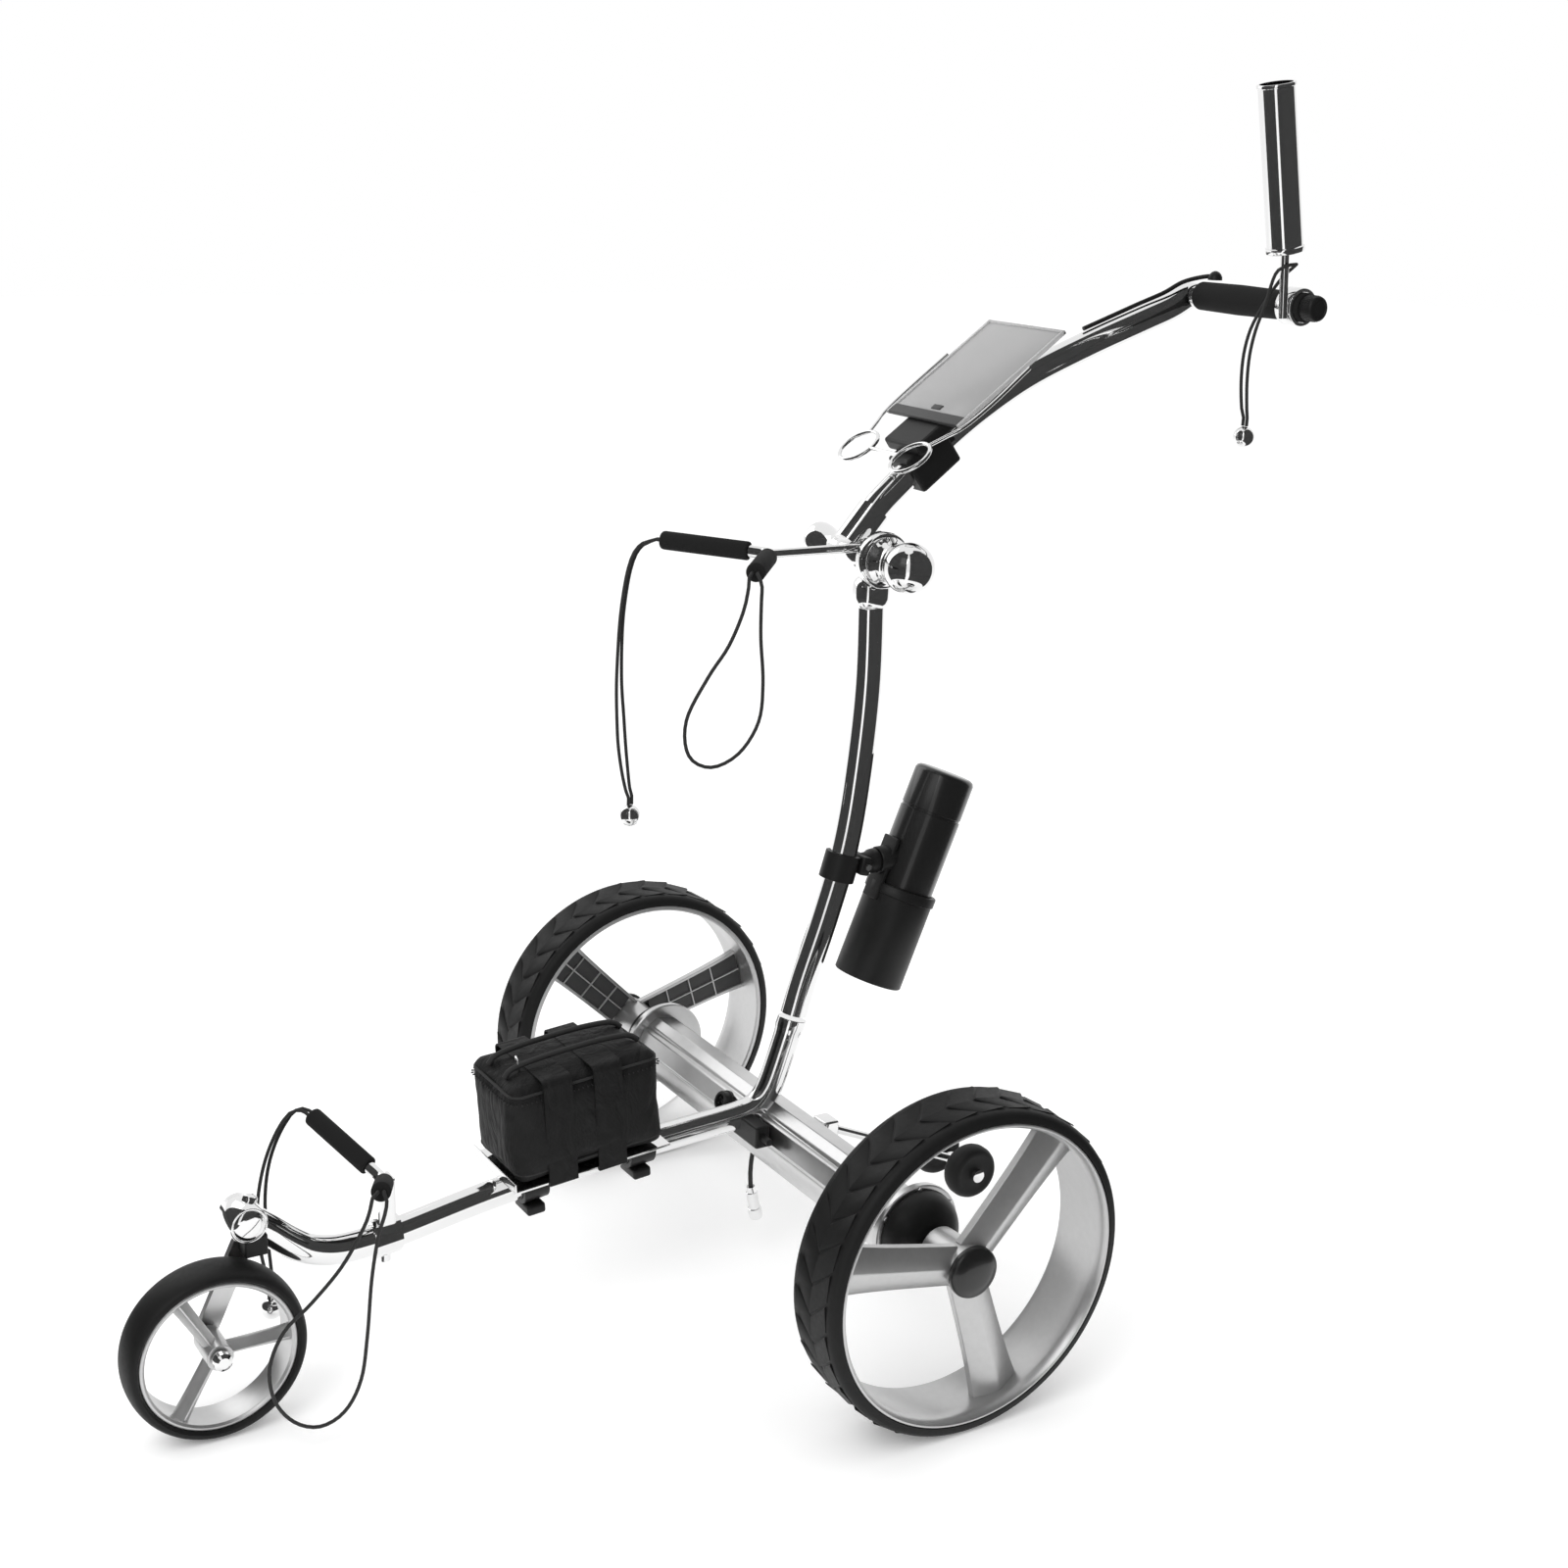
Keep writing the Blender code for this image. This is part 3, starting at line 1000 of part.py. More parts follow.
clear_scene()
make_frame_tubes()
make_head()
make_fork()
make_front_wheel()
make_axle_housing()
make_saddle()
for side, sign in (("left", 1), ("right", -1)):
    make_gearbox(side, sign)
    make_rear_wheel(side, sign)
make_battery()
make_lower_support()
make_upper_support()
make_fold_joint()
make_handle()
make_umbrella_holder()
make_card_holder()
make_bottle()
make_anti_tip()
make_cords()
middle = (FRONT_AXLE_Y - FRONT_RADIUS + GRIP.y + CLAMP_RADIUS) / 2
for part in bpy.data.objects:
    part.location.y -= middle
    part.location.z -= GROUND
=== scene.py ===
from math import atan2, cos, pi, radians, sin

import bmesh
import bpy
from mathutils import Matrix, Vector


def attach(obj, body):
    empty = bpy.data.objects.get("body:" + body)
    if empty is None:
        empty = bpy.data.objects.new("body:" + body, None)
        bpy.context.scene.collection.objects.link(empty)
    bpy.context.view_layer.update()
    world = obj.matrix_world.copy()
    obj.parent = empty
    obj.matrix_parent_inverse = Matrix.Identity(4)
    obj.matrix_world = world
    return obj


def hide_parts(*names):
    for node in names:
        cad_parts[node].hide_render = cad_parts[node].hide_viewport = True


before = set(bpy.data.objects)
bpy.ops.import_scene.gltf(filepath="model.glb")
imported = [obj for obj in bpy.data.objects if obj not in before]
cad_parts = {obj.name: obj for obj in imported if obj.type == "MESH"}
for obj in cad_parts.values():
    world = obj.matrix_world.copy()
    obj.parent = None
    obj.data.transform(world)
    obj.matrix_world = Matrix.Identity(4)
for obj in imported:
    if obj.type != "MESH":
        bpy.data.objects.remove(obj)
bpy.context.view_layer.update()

# The part's own drawing puts the wheel axis at y = 0. Every mesh below is drawn that way, then moved by this.
rowShift = 0.0841
up = Vector((0, 0, 1))
sideways = Vector((1, 0, 0))


# ---- camera ----

cameraView = {
    "place": (1.6439, -0.9485, 1.0703), "azimuth": 58.04, "elevation": 16.473, "roll": 1.98, "lens": 50.37,
}


def makeCamera(view):
    azimuth = radians(view["azimuth"])
    elevation = radians(view["elevation"])
    roll = radians(view["roll"])
    back = Vector((sin(azimuth) * cos(elevation), -cos(azimuth) * cos(elevation), sin(elevation)))
    level = (-back).cross(up).normalized()
    upright = level.cross(-back)
    right = level * cos(roll) + upright * sin(roll)
    top = upright * cos(roll) - level * sin(roll)
    data = bpy.data.cameras.new("camera")
    data.lens = view["lens"]
    data.sensor_width = 36
    made = bpy.data.objects.new("camera", data)
    turn = Matrix((right, top, back)).transposed().to_4x4()
    made.matrix_world = Matrix.Translation(view["place"]) @ turn
    bpy.context.scene.collection.objects.link(made)
    bpy.context.scene.camera = made


makeCamera(cameraView)
print("stage: camera")


# ---- materials ----

looks = {
    "chrome": {"colour": 0.80, "metal": 1.0, "rough": 0.055, "vary": 0.03, "grain": 6, "bump": 0.0},
    "satinSilver": {"colour": 0.62, "metal": 1.0, "rough": 0.30, "vary": 0.10, "grain": 90, "bump": 0.02},
    "rimSilver": {"colour": 0.56, "metal": 0.85, "rough": 0.34, "vary": 0.08, "grain": 160, "bump": 0.03},
    "tyreRubber": {"colour": 0.008, "metal": 0.0, "rough": 0.55, "vary": 0.18, "grain": 240, "bump": 0.10},
    "blackPlastic": {"colour": 0.009, "metal": 0.0, "rough": 0.42, "vary": 0.12, "grain": 700, "bump": 0.06},
    "glossBlack": {"colour": 0.009, "metal": 0.0, "rough": 0.30, "vary": 0.05, "grain": 20, "bump": 0.0},
    "foamBlack": {"colour": 0.009, "metal": 0.0, "rough": 0.86, "vary": 0.12, "grain": 1100, "bump": 0.35},
    "cordBlack": {"colour": 0.016, "metal": 0.0, "rough": 0.72, "vary": 0.15, "grain": 1500, "bump": 0.45},
    "nylonBlack": {"colour": 0.008, "metal": 0.0, "rough": 0.62, "vary": 0.16, "grain": 60, "bump": 0.10},
    "clearGrey": {"colour": 0.42, "metal": 0.0, "rough": 0.14, "vary": 0.05, "grain": 12, "bump": 0.0},
    "clearEdge": {"colour": 0.80, "metal": 0.0, "rough": 0.08, "vary": 0.03, "grain": 12, "bump": 0.0},
    "spokeBack": {"colour": 0.035, "metal": 0.0, "rough": 0.50, "vary": 0.12, "grain": 200, "bump": 0.04},
}


def makeLook(name, facts):
    made = bpy.data.materials.new(name)
    made.use_nodes = True
    nodes = made.node_tree.nodes
    links = made.node_tree.links
    shader = nodes["Principled BSDF"]
    shader.inputs["Metallic"].default_value = facts["metal"]
    coords = nodes.new("ShaderNodeTexCoord")
    noise = nodes.new("ShaderNodeTexNoise")
    noise.inputs["Scale"].default_value = facts["grain"]
    noise.inputs["Detail"].default_value = 4
    links.new(coords.outputs["Object"], noise.inputs["Vector"])
    tone = nodes.new("ShaderNodeMapRange")
    tone.inputs["To Min"].default_value = facts["colour"] * (1 - facts["vary"])
    tone.inputs["To Max"].default_value = facts["colour"] * (1 + facts["vary"] * 0.6)
    links.new(noise.outputs["Fac"], tone.inputs["Value"])
    links.new(tone.outputs["Result"], shader.inputs["Base Color"])
    shine = nodes.new("ShaderNodeMapRange")
    shine.inputs["To Min"].default_value = facts["rough"] * (1 - facts["vary"])
    shine.inputs["To Max"].default_value = facts["rough"] * (1 + facts["vary"])
    links.new(noise.outputs["Fac"], shine.inputs["Value"])
    links.new(shine.outputs["Result"], shader.inputs["Roughness"])
    if facts["bump"]:
        bump = nodes.new("ShaderNodeBump")
        bump.inputs["Strength"].default_value = facts["bump"]
        bump.inputs["Distance"].default_value = 0.0006
        links.new(noise.outputs["Fac"], bump.inputs["Height"])
        links.new(bump.outputs["Normal"], shader.inputs["Normal"])
    return made


def addWeave(made, scale):
    nodes = made.node_tree.nodes
    links = made.node_tree.links
    coords = nodes["Texture Coordinate"]
    waves = []
    for direction in ("Y", "Z"):
        wave = nodes.new("ShaderNodeTexWave")
        wave.bands_direction = direction
        wave.inputs["Scale"].default_value = scale
        links.new(coords.outputs["Object"], wave.inputs["Vector"])
        waves.append(wave)
    mixed = nodes.new("ShaderNodeMath")
    mixed.operation = "MULTIPLY"
    links.new(waves[0].outputs["Fac"], mixed.inputs[0])
    links.new(waves[1].outputs["Fac"], mixed.inputs[1])
    weave = nodes.new("ShaderNodeBump")
    weave.inputs["Strength"].default_value = 0.35
    weave.inputs["Distance"].default_value = 0.0005
    links.new(mixed.outputs[0], weave.inputs["Height"])
    links.new(nodes["Bump"].outputs["Normal"], weave.inputs["Normal"])
    links.new(weave.outputs["Normal"], nodes["Principled BSDF"].inputs["Normal"])


def addCreases(made, scale, depth):
    nodes = made.node_tree.nodes
    links = made.node_tree.links
    shader = nodes["Principled BSDF"]
    slant = nodes.new("ShaderNodeMapping")
    slant.inputs["Rotation"].default_value = (radians(38), 0, radians(12))
    slant.inputs["Scale"].default_value = (1.4, 1.2, 0.55)
    links.new(nodes["Texture Coordinate"].outputs["Object"], slant.inputs["Vector"])
    folds = nodes.new("ShaderNodeTexNoise")
    folds.inputs["Scale"].default_value = scale
    folds.inputs["Detail"].default_value = 3
    folds.inputs["Distortion"].default_value = 0.8
    links.new(slant.outputs["Vector"], folds.inputs["Vector"])
    crease = nodes.new("ShaderNodeBump")
    crease.inputs["Strength"].default_value = 0.8
    crease.inputs["Distance"].default_value = depth
    links.new(folds.outputs["Fac"], crease.inputs["Height"])
    links.new(shader.inputs["Normal"].links[0].from_socket, crease.inputs["Normal"])
    links.new(crease.outputs["Normal"], shader.inputs["Normal"])


nylon = {"weaveScale": 260, "creaseScale": 42, "creaseDepth": 0.006}
extras = (
    ("glossBlack", "Coat Weight", 0.35), ("glossBlack", "Specular IOR Level", 0.35),
    ("clearGrey", "Transmission Weight", 0.45), ("clearEdge", "Transmission Weight", 0.7),
    ("tyreRubber", "Specular IOR Level", 0.22), ("nylonBlack", "Specular IOR Level", 0.22),
    ("blackPlastic", "Specular IOR Level", 0.25), ("foamBlack", "Specular IOR Level", 0.25),
)
materials = {name: makeLook(name, facts) for name, facts in looks.items()}
addWeave(materials["nylonBlack"], nylon["weaveScale"])
addCreases(materials["nylonBlack"], nylon["creaseScale"], nylon["creaseDepth"])
for lookName, inputName, value in extras:
    materials[lookName].node_tree.nodes["Principled BSDF"].inputs[inputName].default_value = value
print("stage: materials")


# ---- mesh tools ----

def pieceFrom(name, bm, look, body, nodes=(), sharp=38, soften=0.0):
    bmesh.ops.recalc_face_normals(bm, faces=bm.faces)
    bmesh.ops.translate(bm, verts=bm.verts, vec=(0, rowShift, 0))
    mesh = bpy.data.meshes.new(name)
    bm.to_mesh(mesh)
    bm.free()
    made = bpy.data.objects.new(name, mesh)
    bpy.context.scene.collection.objects.link(made)
    mesh.materials.append(materials[look])
    if soften:
        bevel = made.modifiers.new("soft edges", "BEVEL")
        bevel.width = soften
        bevel.segments = 2
        bevel.limit_method = "ANGLE"
        bevel.angle_limit = radians(sharp)
    mesh.shade_smooth()
    mesh.set_sharp_from_angle(angle=radians(sharp))
    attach(made, body)
    if nodes:
        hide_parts(*nodes)
    return made


def together(shapes):
    joined = bmesh.new()
    for shape in shapes:
        mesh = bpy.data.meshes.new("part")
        shape.to_mesh(mesh)
        shape.free()
        joined.from_mesh(mesh)
        bpy.data.meshes.remove(mesh)
    return joined


def turned(profile, centre, direction, steps=96):
    bm = bmesh.new()
    points = [bm.verts.new((radius, 0, along)) for along, radius in profile]
    edges = [bm.edges.new(pair) for pair in zip(points, points[1:])]
    if profile[0][1] > 0 or profile[-1][1] > 0:
        edges.append(bm.edges.new((points[-1], points[0])))
    bmesh.ops.spin(
        bm, geom=points + edges, cent=(0, 0, 0), axis=(0, 0, 1), angle=2 * pi, steps=steps, use_merge=True
    )
    bmesh.ops.remove_doubles(bm, verts=bm.verts, dist=0.00001)
    turn = up.rotation_difference(Vector(direction).normalized()).to_matrix().to_4x4()
    bmesh.ops.transform(bm, matrix=Matrix.Translation(Vector(centre)) @ turn, verts=bm.verts)
    return bm


def rod(start, end, radius, steps=40):
    start = Vector(start)
    end = Vector(end)
    length = (end - start).length
    return turned(((0, 0), (0, radius), (length, radius), (length, 0)), start, end - start, steps)


def ball(centre, radius, steps=64):
    rows = 32
    profile = [(-radius * cos(pi * i / rows), radius * sin(pi * i / rows)) for i in range(rows + 1)]
    profile[0] = (-radius, 0)
    profile[-1] = (radius, 0)
    return turned(profile, centre, up, steps)


def block(size, centre, tilt=0.0, edge=0.0):
    bm = bmesh.new()
    bmesh.ops.create_cube(bm, size=1)
    bmesh.ops.scale(bm, vec=size, verts=bm.verts)
    if edge:
        bmesh.ops.bevel(bm, geom=bm.edges, offset=edge, segments=4, profile=0.5, affect="EDGES")
    place = Matrix.Translation(Vector(centre)) @ Matrix.Rotation(tilt, 4, "X")
    bmesh.ops.transform(bm, matrix=place, verts=bm.verts)
    return bm


def smoothRoute(points, step):
    points = [Vector(p) for p in points]
    line = [2 * points[0] - points[1], *points, 2 * points[-1] - points[-2]]
    found = [points[0]]
    for a, b, c, d in zip(line, line[1:], line[2:], line[3:]):
        count = max(1, round((c - b).length / step))
        for i in range(1, count + 1):
            t = i / count
            bend = (2 * a - 5 * b + 4 * c - d) * t**2 + (3 * b - a - 3 * c + d) * t**3
            found.append(0.5 * (2 * b + (c - a) * t + bend))
    return found


def headingAt(route, i):
    return (route[min(i + 1, len(route) - 1)] - route[max(i - 1, 0)]).normalized()


def ovalRings(bm, route, wide, deep, sides, scales=None):
    rings = []
    for i, point in enumerate(route):
        normal = headingAt(route, i).cross(sideways).normalized()
        size = scales(point) if scales else 1
        ring = []
        for k in range(sides):
            turn = 2 * pi * k / sides
            offset = sideways * (size * wide / 2 * cos(turn)) + normal * (size * deep / 2 * sin(turn))
            ring.append(bm.verts.new(point + offset))
        rings.append(ring)
    return rings


def swept(route, wide, deep, sides=48, scales=None):
    bm = bmesh.new()
    closeRings(bm, ovalRings(bm, route, wide, deep, sides, scales))
    return bm


def bentRod(route, radius, sides=20):
    bm = bmesh.new()
    rings = []
    side = None
    for i, point in enumerate(route):
        along = headingAt(route, i)
        if side is None:
            side = along.orthogonal().normalized()
        side = (side - along * side.dot(along)).normalized()
        other = along.cross(side)
        turns = [2 * pi * k / sides for k in range(sides)]
        rings.append([bm.verts.new(point + radius * (side * cos(t) + other * sin(t))) for t in turns])
    closeRings(bm, rings)
    return bm


def band(route, wide, deep, thick, sides=56):
    bm = bmesh.new()
    inner = ovalRings(bm, route, wide, deep, sides)
    outer = ovalRings(bm, route, wide + 2 * thick, deep + 2 * thick, sides)
    joinRings(bm, [*outer, *inner[::-1], outer[0]])
    return bm


def joinRings(bm, rings):
    sides = len(rings[0])
    for first, second in zip(rings, rings[1:]):
        for k in range(sides):
            following = (k + 1) % sides
            bm.faces.new((first[k], first[following], second[following], second[k]))


def closeRings(bm, rings):
    joinRings(bm, rings)
    bm.faces.new(rings[0])
    bm.faces.new(rings[-1][::-1])


def planeRoute(line, x, step):
    return smoothRoute([(x, y, z) for y, z in line], step)


# ---- Geometry Nodes for what repeats ----

def nodeGroup(name, inputs):
    group = bpy.data.node_groups.new(name, "GeometryNodeTree")
    for label, kind in inputs:
        group.interface.new_socket(label, in_out="INPUT", socket_type=kind)
    group.interface.new_socket("Geometry", in_out="OUTPUT", socket_type="NodeSocketGeometry")
    return group


def finishGroup(group, entry, instances):
    nodes = group.nodes
    realize = nodes.new("GeometryNodeRealizeInstances")
    paint = nodes.new("GeometryNodeSetMaterial")
    leave = nodes.new("NodeGroupOutput")
    group.links.new(instances, realize.inputs[0])
    group.links.new(realize.outputs[0], paint.inputs["Geometry"])
    group.links.new(entry.outputs["Look"], paint.inputs["Material"])
    group.links.new(paint.outputs[0], leave.inputs[0])


def ringGroup():
    group = nodeGroup("copiesOnRing", (
        ("Count", "NodeSocketInt"), ("Radius", "NodeSocketFloat"),
        ("Piece", "NodeSocketObject"), ("Look", "NodeSocketMaterial"),
    ))
    nodes = group.nodes
    links = group.links
    entry = nodes.new("NodeGroupInput")
    circle = nodes.new("GeometryNodeMeshCircle")
    links.new(entry.outputs["Count"], circle.inputs["Vertices"])
    links.new(entry.outputs["Radius"], circle.inputs["Radius"])
    place = nodes.new("GeometryNodeInputPosition")
    turn = nodes.new("FunctionNodeAlignRotationToVector")
    turn.axis = "X"
    turn.pivot_axis = "Z"
    links.new(place.outputs[0], turn.inputs["Vector"])
    source = nodes.new("GeometryNodeObjectInfo")
    links.new(entry.outputs["Piece"], source.inputs["Object"])
    copies = nodes.new("GeometryNodeInstanceOnPoints")
    links.new(circle.outputs[0], copies.inputs["Points"])
    links.new(source.outputs["Geometry"], copies.inputs["Instance"])
    links.new(turn.outputs[0], copies.inputs["Rotation"])
    finishGroup(group, entry, copies.outputs[0])
    return group


def pathGroup():
    group = nodeGroup("copiesOnPath", (
        ("Path", "NodeSocketObject"), ("Spacing", "NodeSocketFloat"),
        ("Piece", "NodeSocketObject"), ("Look", "NodeSocketMaterial"),
    ))
    nodes = group.nodes
    links = group.links
    entry = nodes.new("NodeGroupInput")
    path = nodes.new("GeometryNodeObjectInfo")
    links.new(entry.outputs["Path"], path.inputs["Object"])
    points = nodes.new("GeometryNodeCurveToPoints")
    points.mode = "LENGTH"
    links.new(path.outputs["Geometry"], points.inputs["Curve"])
    links.new(entry.outputs["Spacing"], points.inputs["Length"])
    source = nodes.new("GeometryNodeObjectInfo")
    links.new(entry.outputs["Piece"], source.inputs["Object"])
    copies = nodes.new("GeometryNodeInstanceOnPoints")
    links.new(points.outputs["Points"], copies.inputs["Points"])
    links.new(source.outputs["Geometry"], copies.inputs["Instance"])
    links.new(points.outputs["Rotation"], copies.inputs["Rotation"])
    finishGroup(group, entry, copies.outputs[0])
    return group


def plainObject(name, data):
    made = bpy.data.objects.new(name, data)
    bpy.context.scene.collection.objects.link(made)
    return made


def objectOf(name, bm):
    bmesh.ops.recalc_face_normals(bm, faces=bm.faces)
    mesh = bpy.data.meshes.new(name)
    bm.to_mesh(mesh)
    bm.free()
    return plainObject(name, mesh)


def copiesFrom(group, values):
    host = plainObject("host", bpy.data.meshes.new("host"))
    modifier = host.modifiers.new("copies", "NODES")
    modifier.node_group = group
    for socket in group.interface.items_tree:
        if socket.in_out == "INPUT":
            modifier[socket.identifier] = values[socket.name]
    bpy.context.view_layer.update()
    graph = bpy.context.evaluated_depsgraph_get()
    mesh = bpy.data.meshes.new_from_object(host.evaluated_get(graph))
    bpy.data.objects.remove(host)
    bm = bmesh.new()
    bm.from_mesh(mesh)
    bpy.data.meshes.remove(mesh)
    return bm


onRing = ringGroup()
onPath = pathGroup()


def ringOf(shape, count, radius, look, centre):
    piece = objectOf("piece", shape)
    values = {"Count": count, "Radius": radius, "Piece": piece, "Look": materials[look]}
    bm = copiesFrom(onRing, values)
    bpy.data.objects.remove(piece)
    turn = up.rotation_difference(sideways).to_matrix().to_4x4()
    bmesh.ops.transform(bm, matrix=Matrix.Translation(Vector(centre)) @ turn, verts=bm.verts)
    return bm


def polyCurve(name, points):
    data = bpy.data.curves.new(name, "CURVE")
    data.dimensions = "3D"
    spline = data.splines.new("POLY")
    spline.points.add(len(points) - 1)
    for point, place in zip(spline.points, points):
        point.co = (*place, 1)
    return data


def alongPath(shape, points, spacing, look):
    piece = objectOf("piece", shape)
    path = plainObject("path", polyCurve("path", points))
    values = {"Path": path, "Spacing": spacing, "Piece": piece, "Look": materials[look]}
    bm = copiesFrom(onPath, values)
    bpy.data.objects.remove(piece)
    bpy.data.objects.remove(path)
    return bm


# ---- shared places ----

gap = 0.0003
axle = Vector((0, 0, 0.150))
head = Vector((0, -0.528, 0.182))
frontAxle = Vector((0.018, -0.563, 0.078))
fold = Vector((0, 0.080, 0.703))
gripAxis = Vector((-0.022, 0.4553, 0.9337))
card = Vector((-0.022, 0.142, 0.824))
lowerElbow = Vector((0, -0.402, 0.187))
lowerTip = Vector((0.080, -0.436, 0.221))
upperElbow = Vector((0.003, -0.031, 0.714))
upperTip = Vector((0.080, -0.092, 0.716))


def mirrored(point):
    return Vector((-point.x, point.y, point.z))


# ---- cords ----

cords = {"diameter": 0.0032, "cable": 0.0045, "split": 0.0025, "padCap": 0.0035, "ballRadius": 0.0100}
lowerLoop = (
    (0.0905, -0.4475, 0.2225), (0.0912, -0.4500, 0.2130), (0.0890, -0.4555, 0.1960),
    (0.0862, -0.4740, 0.1640), (0.0850, -0.5000, 0.1370), (0.0850, -0.5240, 0.1170),
    (0.0850, -0.5370, 0.0880), (0.0850, -0.5340, 0.0560), (0.0850, -0.5180, 0.0310),
    (0.0850, -0.4960, 0.0200), (0.0850, -0.4740, 0.0280), (0.0850, -0.4590, 0.0540),
    (0.0850, -0.4525, 0.0950), (0.0868, -0.4485, 0.1450), (0.0905, -0.4435, 0.1850),
    (0.0940, -0.4385, 0.2070), (0.0938, -0.4365, 0.2185),
)
upperLoop = (
    (0.0893, -0.1040, 0.7135), (0.0905, -0.1050, 0.7060), (0.0895, -0.1090, 0.6850),
    (0.0865, -0.1205, 0.6560), (0.0855, -0.1395, 0.6300), (0.0850, -0.1590, 0.5950),
    (0.0850, -0.1560, 0.5640), (0.0850, -0.1340, 0.5510), (0.0850, -0.1070, 0.5600),
    (0.0850, -0.0880, 0.5860), (0.0855, -0.0850, 0.6200), (0.0880, -0.0900, 0.6600),
    (0.0920, -0.0930, 0.6900), (0.0940, -0.0940, 0.7060), (0.0930, -0.0955, 0.7130),
)
# Middle of each hanging pair, with half the distance between its strands.
lowerPair = (
    (-0.0915, -0.4430, 0.2255, 0.0021), (-0.0932, -0.4480, 0.2250, 0.0020),
    (-0.0932, -0.4535, 0.2225, 0.0020), (-0.0918, -0.4590, 0.2175, 0.0021),
    (-0.0895, -0.4655, 0.2100, 0.0023), (-0.0870, -0.4720, 0.2000, 0.0025),
    (-0.0845, -0.4780, 0.1875, 0.0028), (-0.0820, -0.4830, 0.1720, 0.0034),
    (-0.0795, -0.4865, 0.1540, 0.0042), (-0.0775, -0.4880, 0.1340, 0.0050),
    (-0.0758, -0.4870, 0.1100, 0.0048), (-0.0748, -0.4845, 0.0860, 0.0036),
)
upperPair = (
    (-0.0900, -0.1020, 0.7142, 0.0020), (-0.0922, -0.1085, 0.7115, 0.0019),
    (-0.0925, -0.1160, 0.7040, 0.0019), (-0.0910, -0.1225, 0.6900, 0.0019),
    (-0.0885, -0.1280, 0.6700, 0.0020), (-0.0860, -0.1325, 0.6450, 0.0022),
    (-0.0840, -0.1350, 0.6150, 0.0028), (-0.0825, -0.1360, 0.5850, 0.0038),
    (-0.0812, -0.1350, 0.5550, 0.0050), (-0.0805, -0.1335, 0.5300, 0.0053),
    (-0.0800, -0.1305, 0.5050, 0.0044), (-0.0797, -0.1272, 0.4860, 0.0030),
)
umbrellaCord = (
    (0.1165, 0.4135, 0.8400), (0.1172, 0.4100, 0.8650), (0.1175, 0.4100, 0.8900),
    (0.1175, 0.4145, 0.9120), (0.1175, 0.4215, 0.9300), (0.1185, 0.4255, 0.9450),
    (0.1215, 0.4265, 0.9580), (0.1285, 0.4255, 0.9670), (0.1364, 0.4315, 0.9720),
    (0.1352, 0.4405, 0.9725), (0.1275, 0.4432, 0.9685), (0.1195, 0.4400, 0.9600),
    (0.1140, 0.4330, 0.9460), (0.1105, 0.4250, 0.9300), (0.1090, 0.4160, 0.9120),
    (0.1085, 0.4110, 0.8900), (0.1088, 0.4105, 0.8650), (0.1095, 0.4135, 0.8400),
)
cableRoute = (
    (-0.0200, -0.0160, 0.1180), (-0.0205, -0.0170, 0.1080),
    (-0.0205, -0.0175, 0.0960), (-0.0200, -0.0170, 0.0825),
)
lowerBall = Vector((-0.0745, -0.4825, 0.0465))
upperBall = Vector((-0.0795, -0.1247, 0.4605))
umbrellaBall = Vector((0.1130, 0.4160, 0.8135))


def outOfPad(elbow, tip, aside=0.0):
    heading = (tip - elbow).normalized()
    start = tip + heading * (cords["padCap"] + gap) + heading.cross(up).normalized() * aside
    return [start, start + heading * 0.005]


def intoBall(centre, aside=0.0):
    end = centre + Vector((aside, 0, cords["ballRadius"] + gap))
    return [end + Vector((0, 0, 0.0075)), end]


def cordCurve(name, points, diameter, body, node):
    route = smoothRoute(points, 2 * diameter)
    route = [p + Vector((0, rowShift, 0)) for p in route]
    data = polyCurve(name, route)
    data.bevel_depth = diameter / 2
    data.bevel_resolution = 4
    data.use_fill_caps = True
    made = plainObject(name, data)
    data.materials.append(materials["cordBlack"])
    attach(made, body)
    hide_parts(node)
    return made


def strandsOf(line):
    # The two strands of a hanging pair stand apart along this level direction.
    apart = Vector((-0.40, 0.91, 0))
    found = []
    for side in (-1, 1):
        strand = []
        for i, (x, y, z, half) in enumerate(line):
            ahead = Vector(line[min(i + 1, len(line) - 1)][:3])
            behind = Vector(line[max(i - 1, 0)][:3])
            along = (ahead - behind).normalized()
            across = apart - along * apart.dot(along)
            across.normalize()
            strand.append(Vector((x, y, z)) + across * (side * half))
        found.append(strand)
    return found


